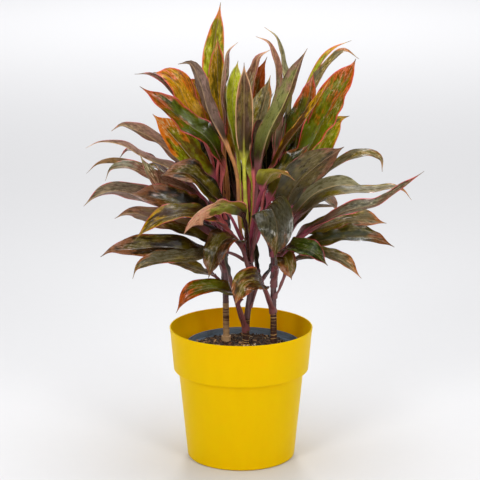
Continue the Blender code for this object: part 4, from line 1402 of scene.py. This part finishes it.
class TIPLANT_OT_young_leaves(bpy.types.Operator):
    """Model the young inner leaves"""

    bl_idname = "tiplant.young_leaves"
    bl_label = "Young leaves"

    def execute(self, context):
        settings = context.scene.ti_leaves
        for number, (side, height, facing, width, words, route) in enumerate(YOUNG_LEAVES, 1):
            spine = spine_of_route(side, height, facing, width, route)
            piece = make_leaf(f"young_leaf_{number:02d}", spine, 99 + number, settings)
            dress_leaf(piece, settings, words)
        return {"FINISHED"}


def dress_leaf(piece, settings, words, *nodes):
    """Give a leaf its look: the finish, the petiole's tone and how light it is."""
    look, stalk, *light = words.split()
    lightness = LIGHTNESS[light[0] if light else "plain"]
    store(piece, "light", np.full(len(piece.data.vertices), lightness))
    material = bpy.data.materials.get(f"leaf_{look}_{stalk}")
    finished(piece, material or leaf_finish(settings, look, stalk), "leaf", 55, *nodes)


class TIPLANT_OT_stage(bpy.types.Operator):
    """Set up the paper backdrop, the lights and the camera"""

    bl_idname = "tiplant.stage"
    bl_label = "Studio"

    def execute(self, context):
        settings = context.scene.ti_stage
        self.backdrop(settings)
        for name, (place, aim, size) in SOFTBOXES.items():
            turn = (Vector(aim) - Vector(place)).to_track_quat("-Z", "Y").to_euler()
            bpy.ops.object.light_add(type="AREA", location=place, rotation=turn)
            light = context.object
            light.name = f"{name}_light"
            light.data.size = size
            light.data.energy = getattr(settings, name)
        world = bpy.data.worlds.new("studio_air")
        world.use_nodes = True
        air = world.node_tree.nodes["Background"]
        air.inputs["Color"].default_value = (1.0, 1.0, 1.0, 1.0)
        air.inputs["Strength"].default_value = settings.ambient
        context.scene.world = world
        world.cycles_visibility.glossy = False
        context.scene.view_settings.view_transform = "Standard"
        bpy.ops.object.camera_add(location=CAMERA_PLACE, rotation=(CAMERA_TILT, 0.0, 0.0))
        camera = context.object
        camera.data.lens = CAMERA_LENS
        camera.data.sensor_width = SENSOR
        context.scene.camera = camera
        return {"FINISHED"}

    def backdrop(self, settings):
        """The paper: a floor whose far edge is drawn up to a wall, with a wide curve between."""
        select_only()
        bpy.ops.mesh.primitive_plane_add(size=PAPER_SIZE, location=(0.0, 0.0, -0.5 * MM))
        paper = bpy.context.object
        paper.name = "studio_backdrop"
        bpy.ops.object.transform_apply(location=True)
        bpy.ops.object.mode_set(mode="EDIT")
        bpy.ops.mesh.select_all(action="DESELECT")
        self.pick_far_edges(paper)
        bpy.ops.mesh.select_mode(type="EDGE")
        bpy.ops.mesh.extrude_region_move(TRANSFORM_OT_translate={"value": (0.0, 0.0, PAPER_WALL)})
        self.pick_far_edges(paper)
        bpy.ops.mesh.bevel(offset=PAPER_CURVE, segments=24)
        bpy.ops.object.mode_set(mode="OBJECT")
        bpy.ops.object.shade_smooth_by_angle(angle=math.radians(40))
        paper.data.materials.append(backdrop_finish(settings.paper))

    def pick_far_edges(self, paper):
        """In edit mode, select the edge behind the plant where the floor ends."""
        bpy.ops.object.mode_set(mode="OBJECT")
        for edge in paper.data.edges:
            ends = [paper.data.vertices[vertex].co for vertex in edge.vertices]
            edge.select = all(end.y > PAPER_SIZE / 4 and end.z < 0.1 for end in ends)
        bpy.ops.object.mode_set(mode="EDIT")


class TIPLANT_PT_panel(bpy.types.Panel):
    """The pieces and their settings"""

    bl_idname = "TIPLANT_PT_panel"
    bl_label = "Potted ti plant"
    bl_space_type = "VIEW_3D"
    bl_region_type = "UI"
    bl_category = "Ti plant"

    def draw(self, context):
        for operator in OPERATORS:
            self.layout.operator(operator.bl_idname)
        for group in SETTINGS:
            box = self.layout.box()
            box.label(text=group)
            settings = getattr(context.scene, group)
            for name in settings.__annotations__:
                box.prop(settings, name)


SETTINGS = {"ti_pots": PotSettings, "ti_leaves": LeafSettings, "ti_canes": CaneSettings,
            "ti_soil": SoilSettings, "ti_stage": StageSettings}
OPERATORS = (TIPLANT_OT_stage, TIPLANT_OT_cachepot, TIPLANT_OT_nursery_pot, TIPLANT_OT_soil,
             TIPLANT_OT_canes, TIPLANT_OT_leaves, TIPLANT_OT_young_leaves)


def register():
    for group in SETTINGS.values():
        bpy.utils.register_class(group)
    for operator in OPERATORS:
        bpy.utils.register_class(operator)
    bpy.utils.register_class(TIPLANT_PT_panel)
    for name, group in SETTINGS.items():
        setattr(bpy.types.Scene, name, PointerProperty(type=group))


def unregister():
    for name in SETTINGS:
        delattr(bpy.types.Scene, name)
    bpy.utils.unregister_class(TIPLANT_PT_panel)
    for group in (*reversed(OPERATORS), *SETTINGS.values()):
        bpy.utils.unregister_class(group)


def main():
    register()
    for operator in OPERATORS:
        group, name = operator.bl_idname.split(".")
        getattr(getattr(bpy.ops, group), name)()


if __name__ == "__main__":
    main()
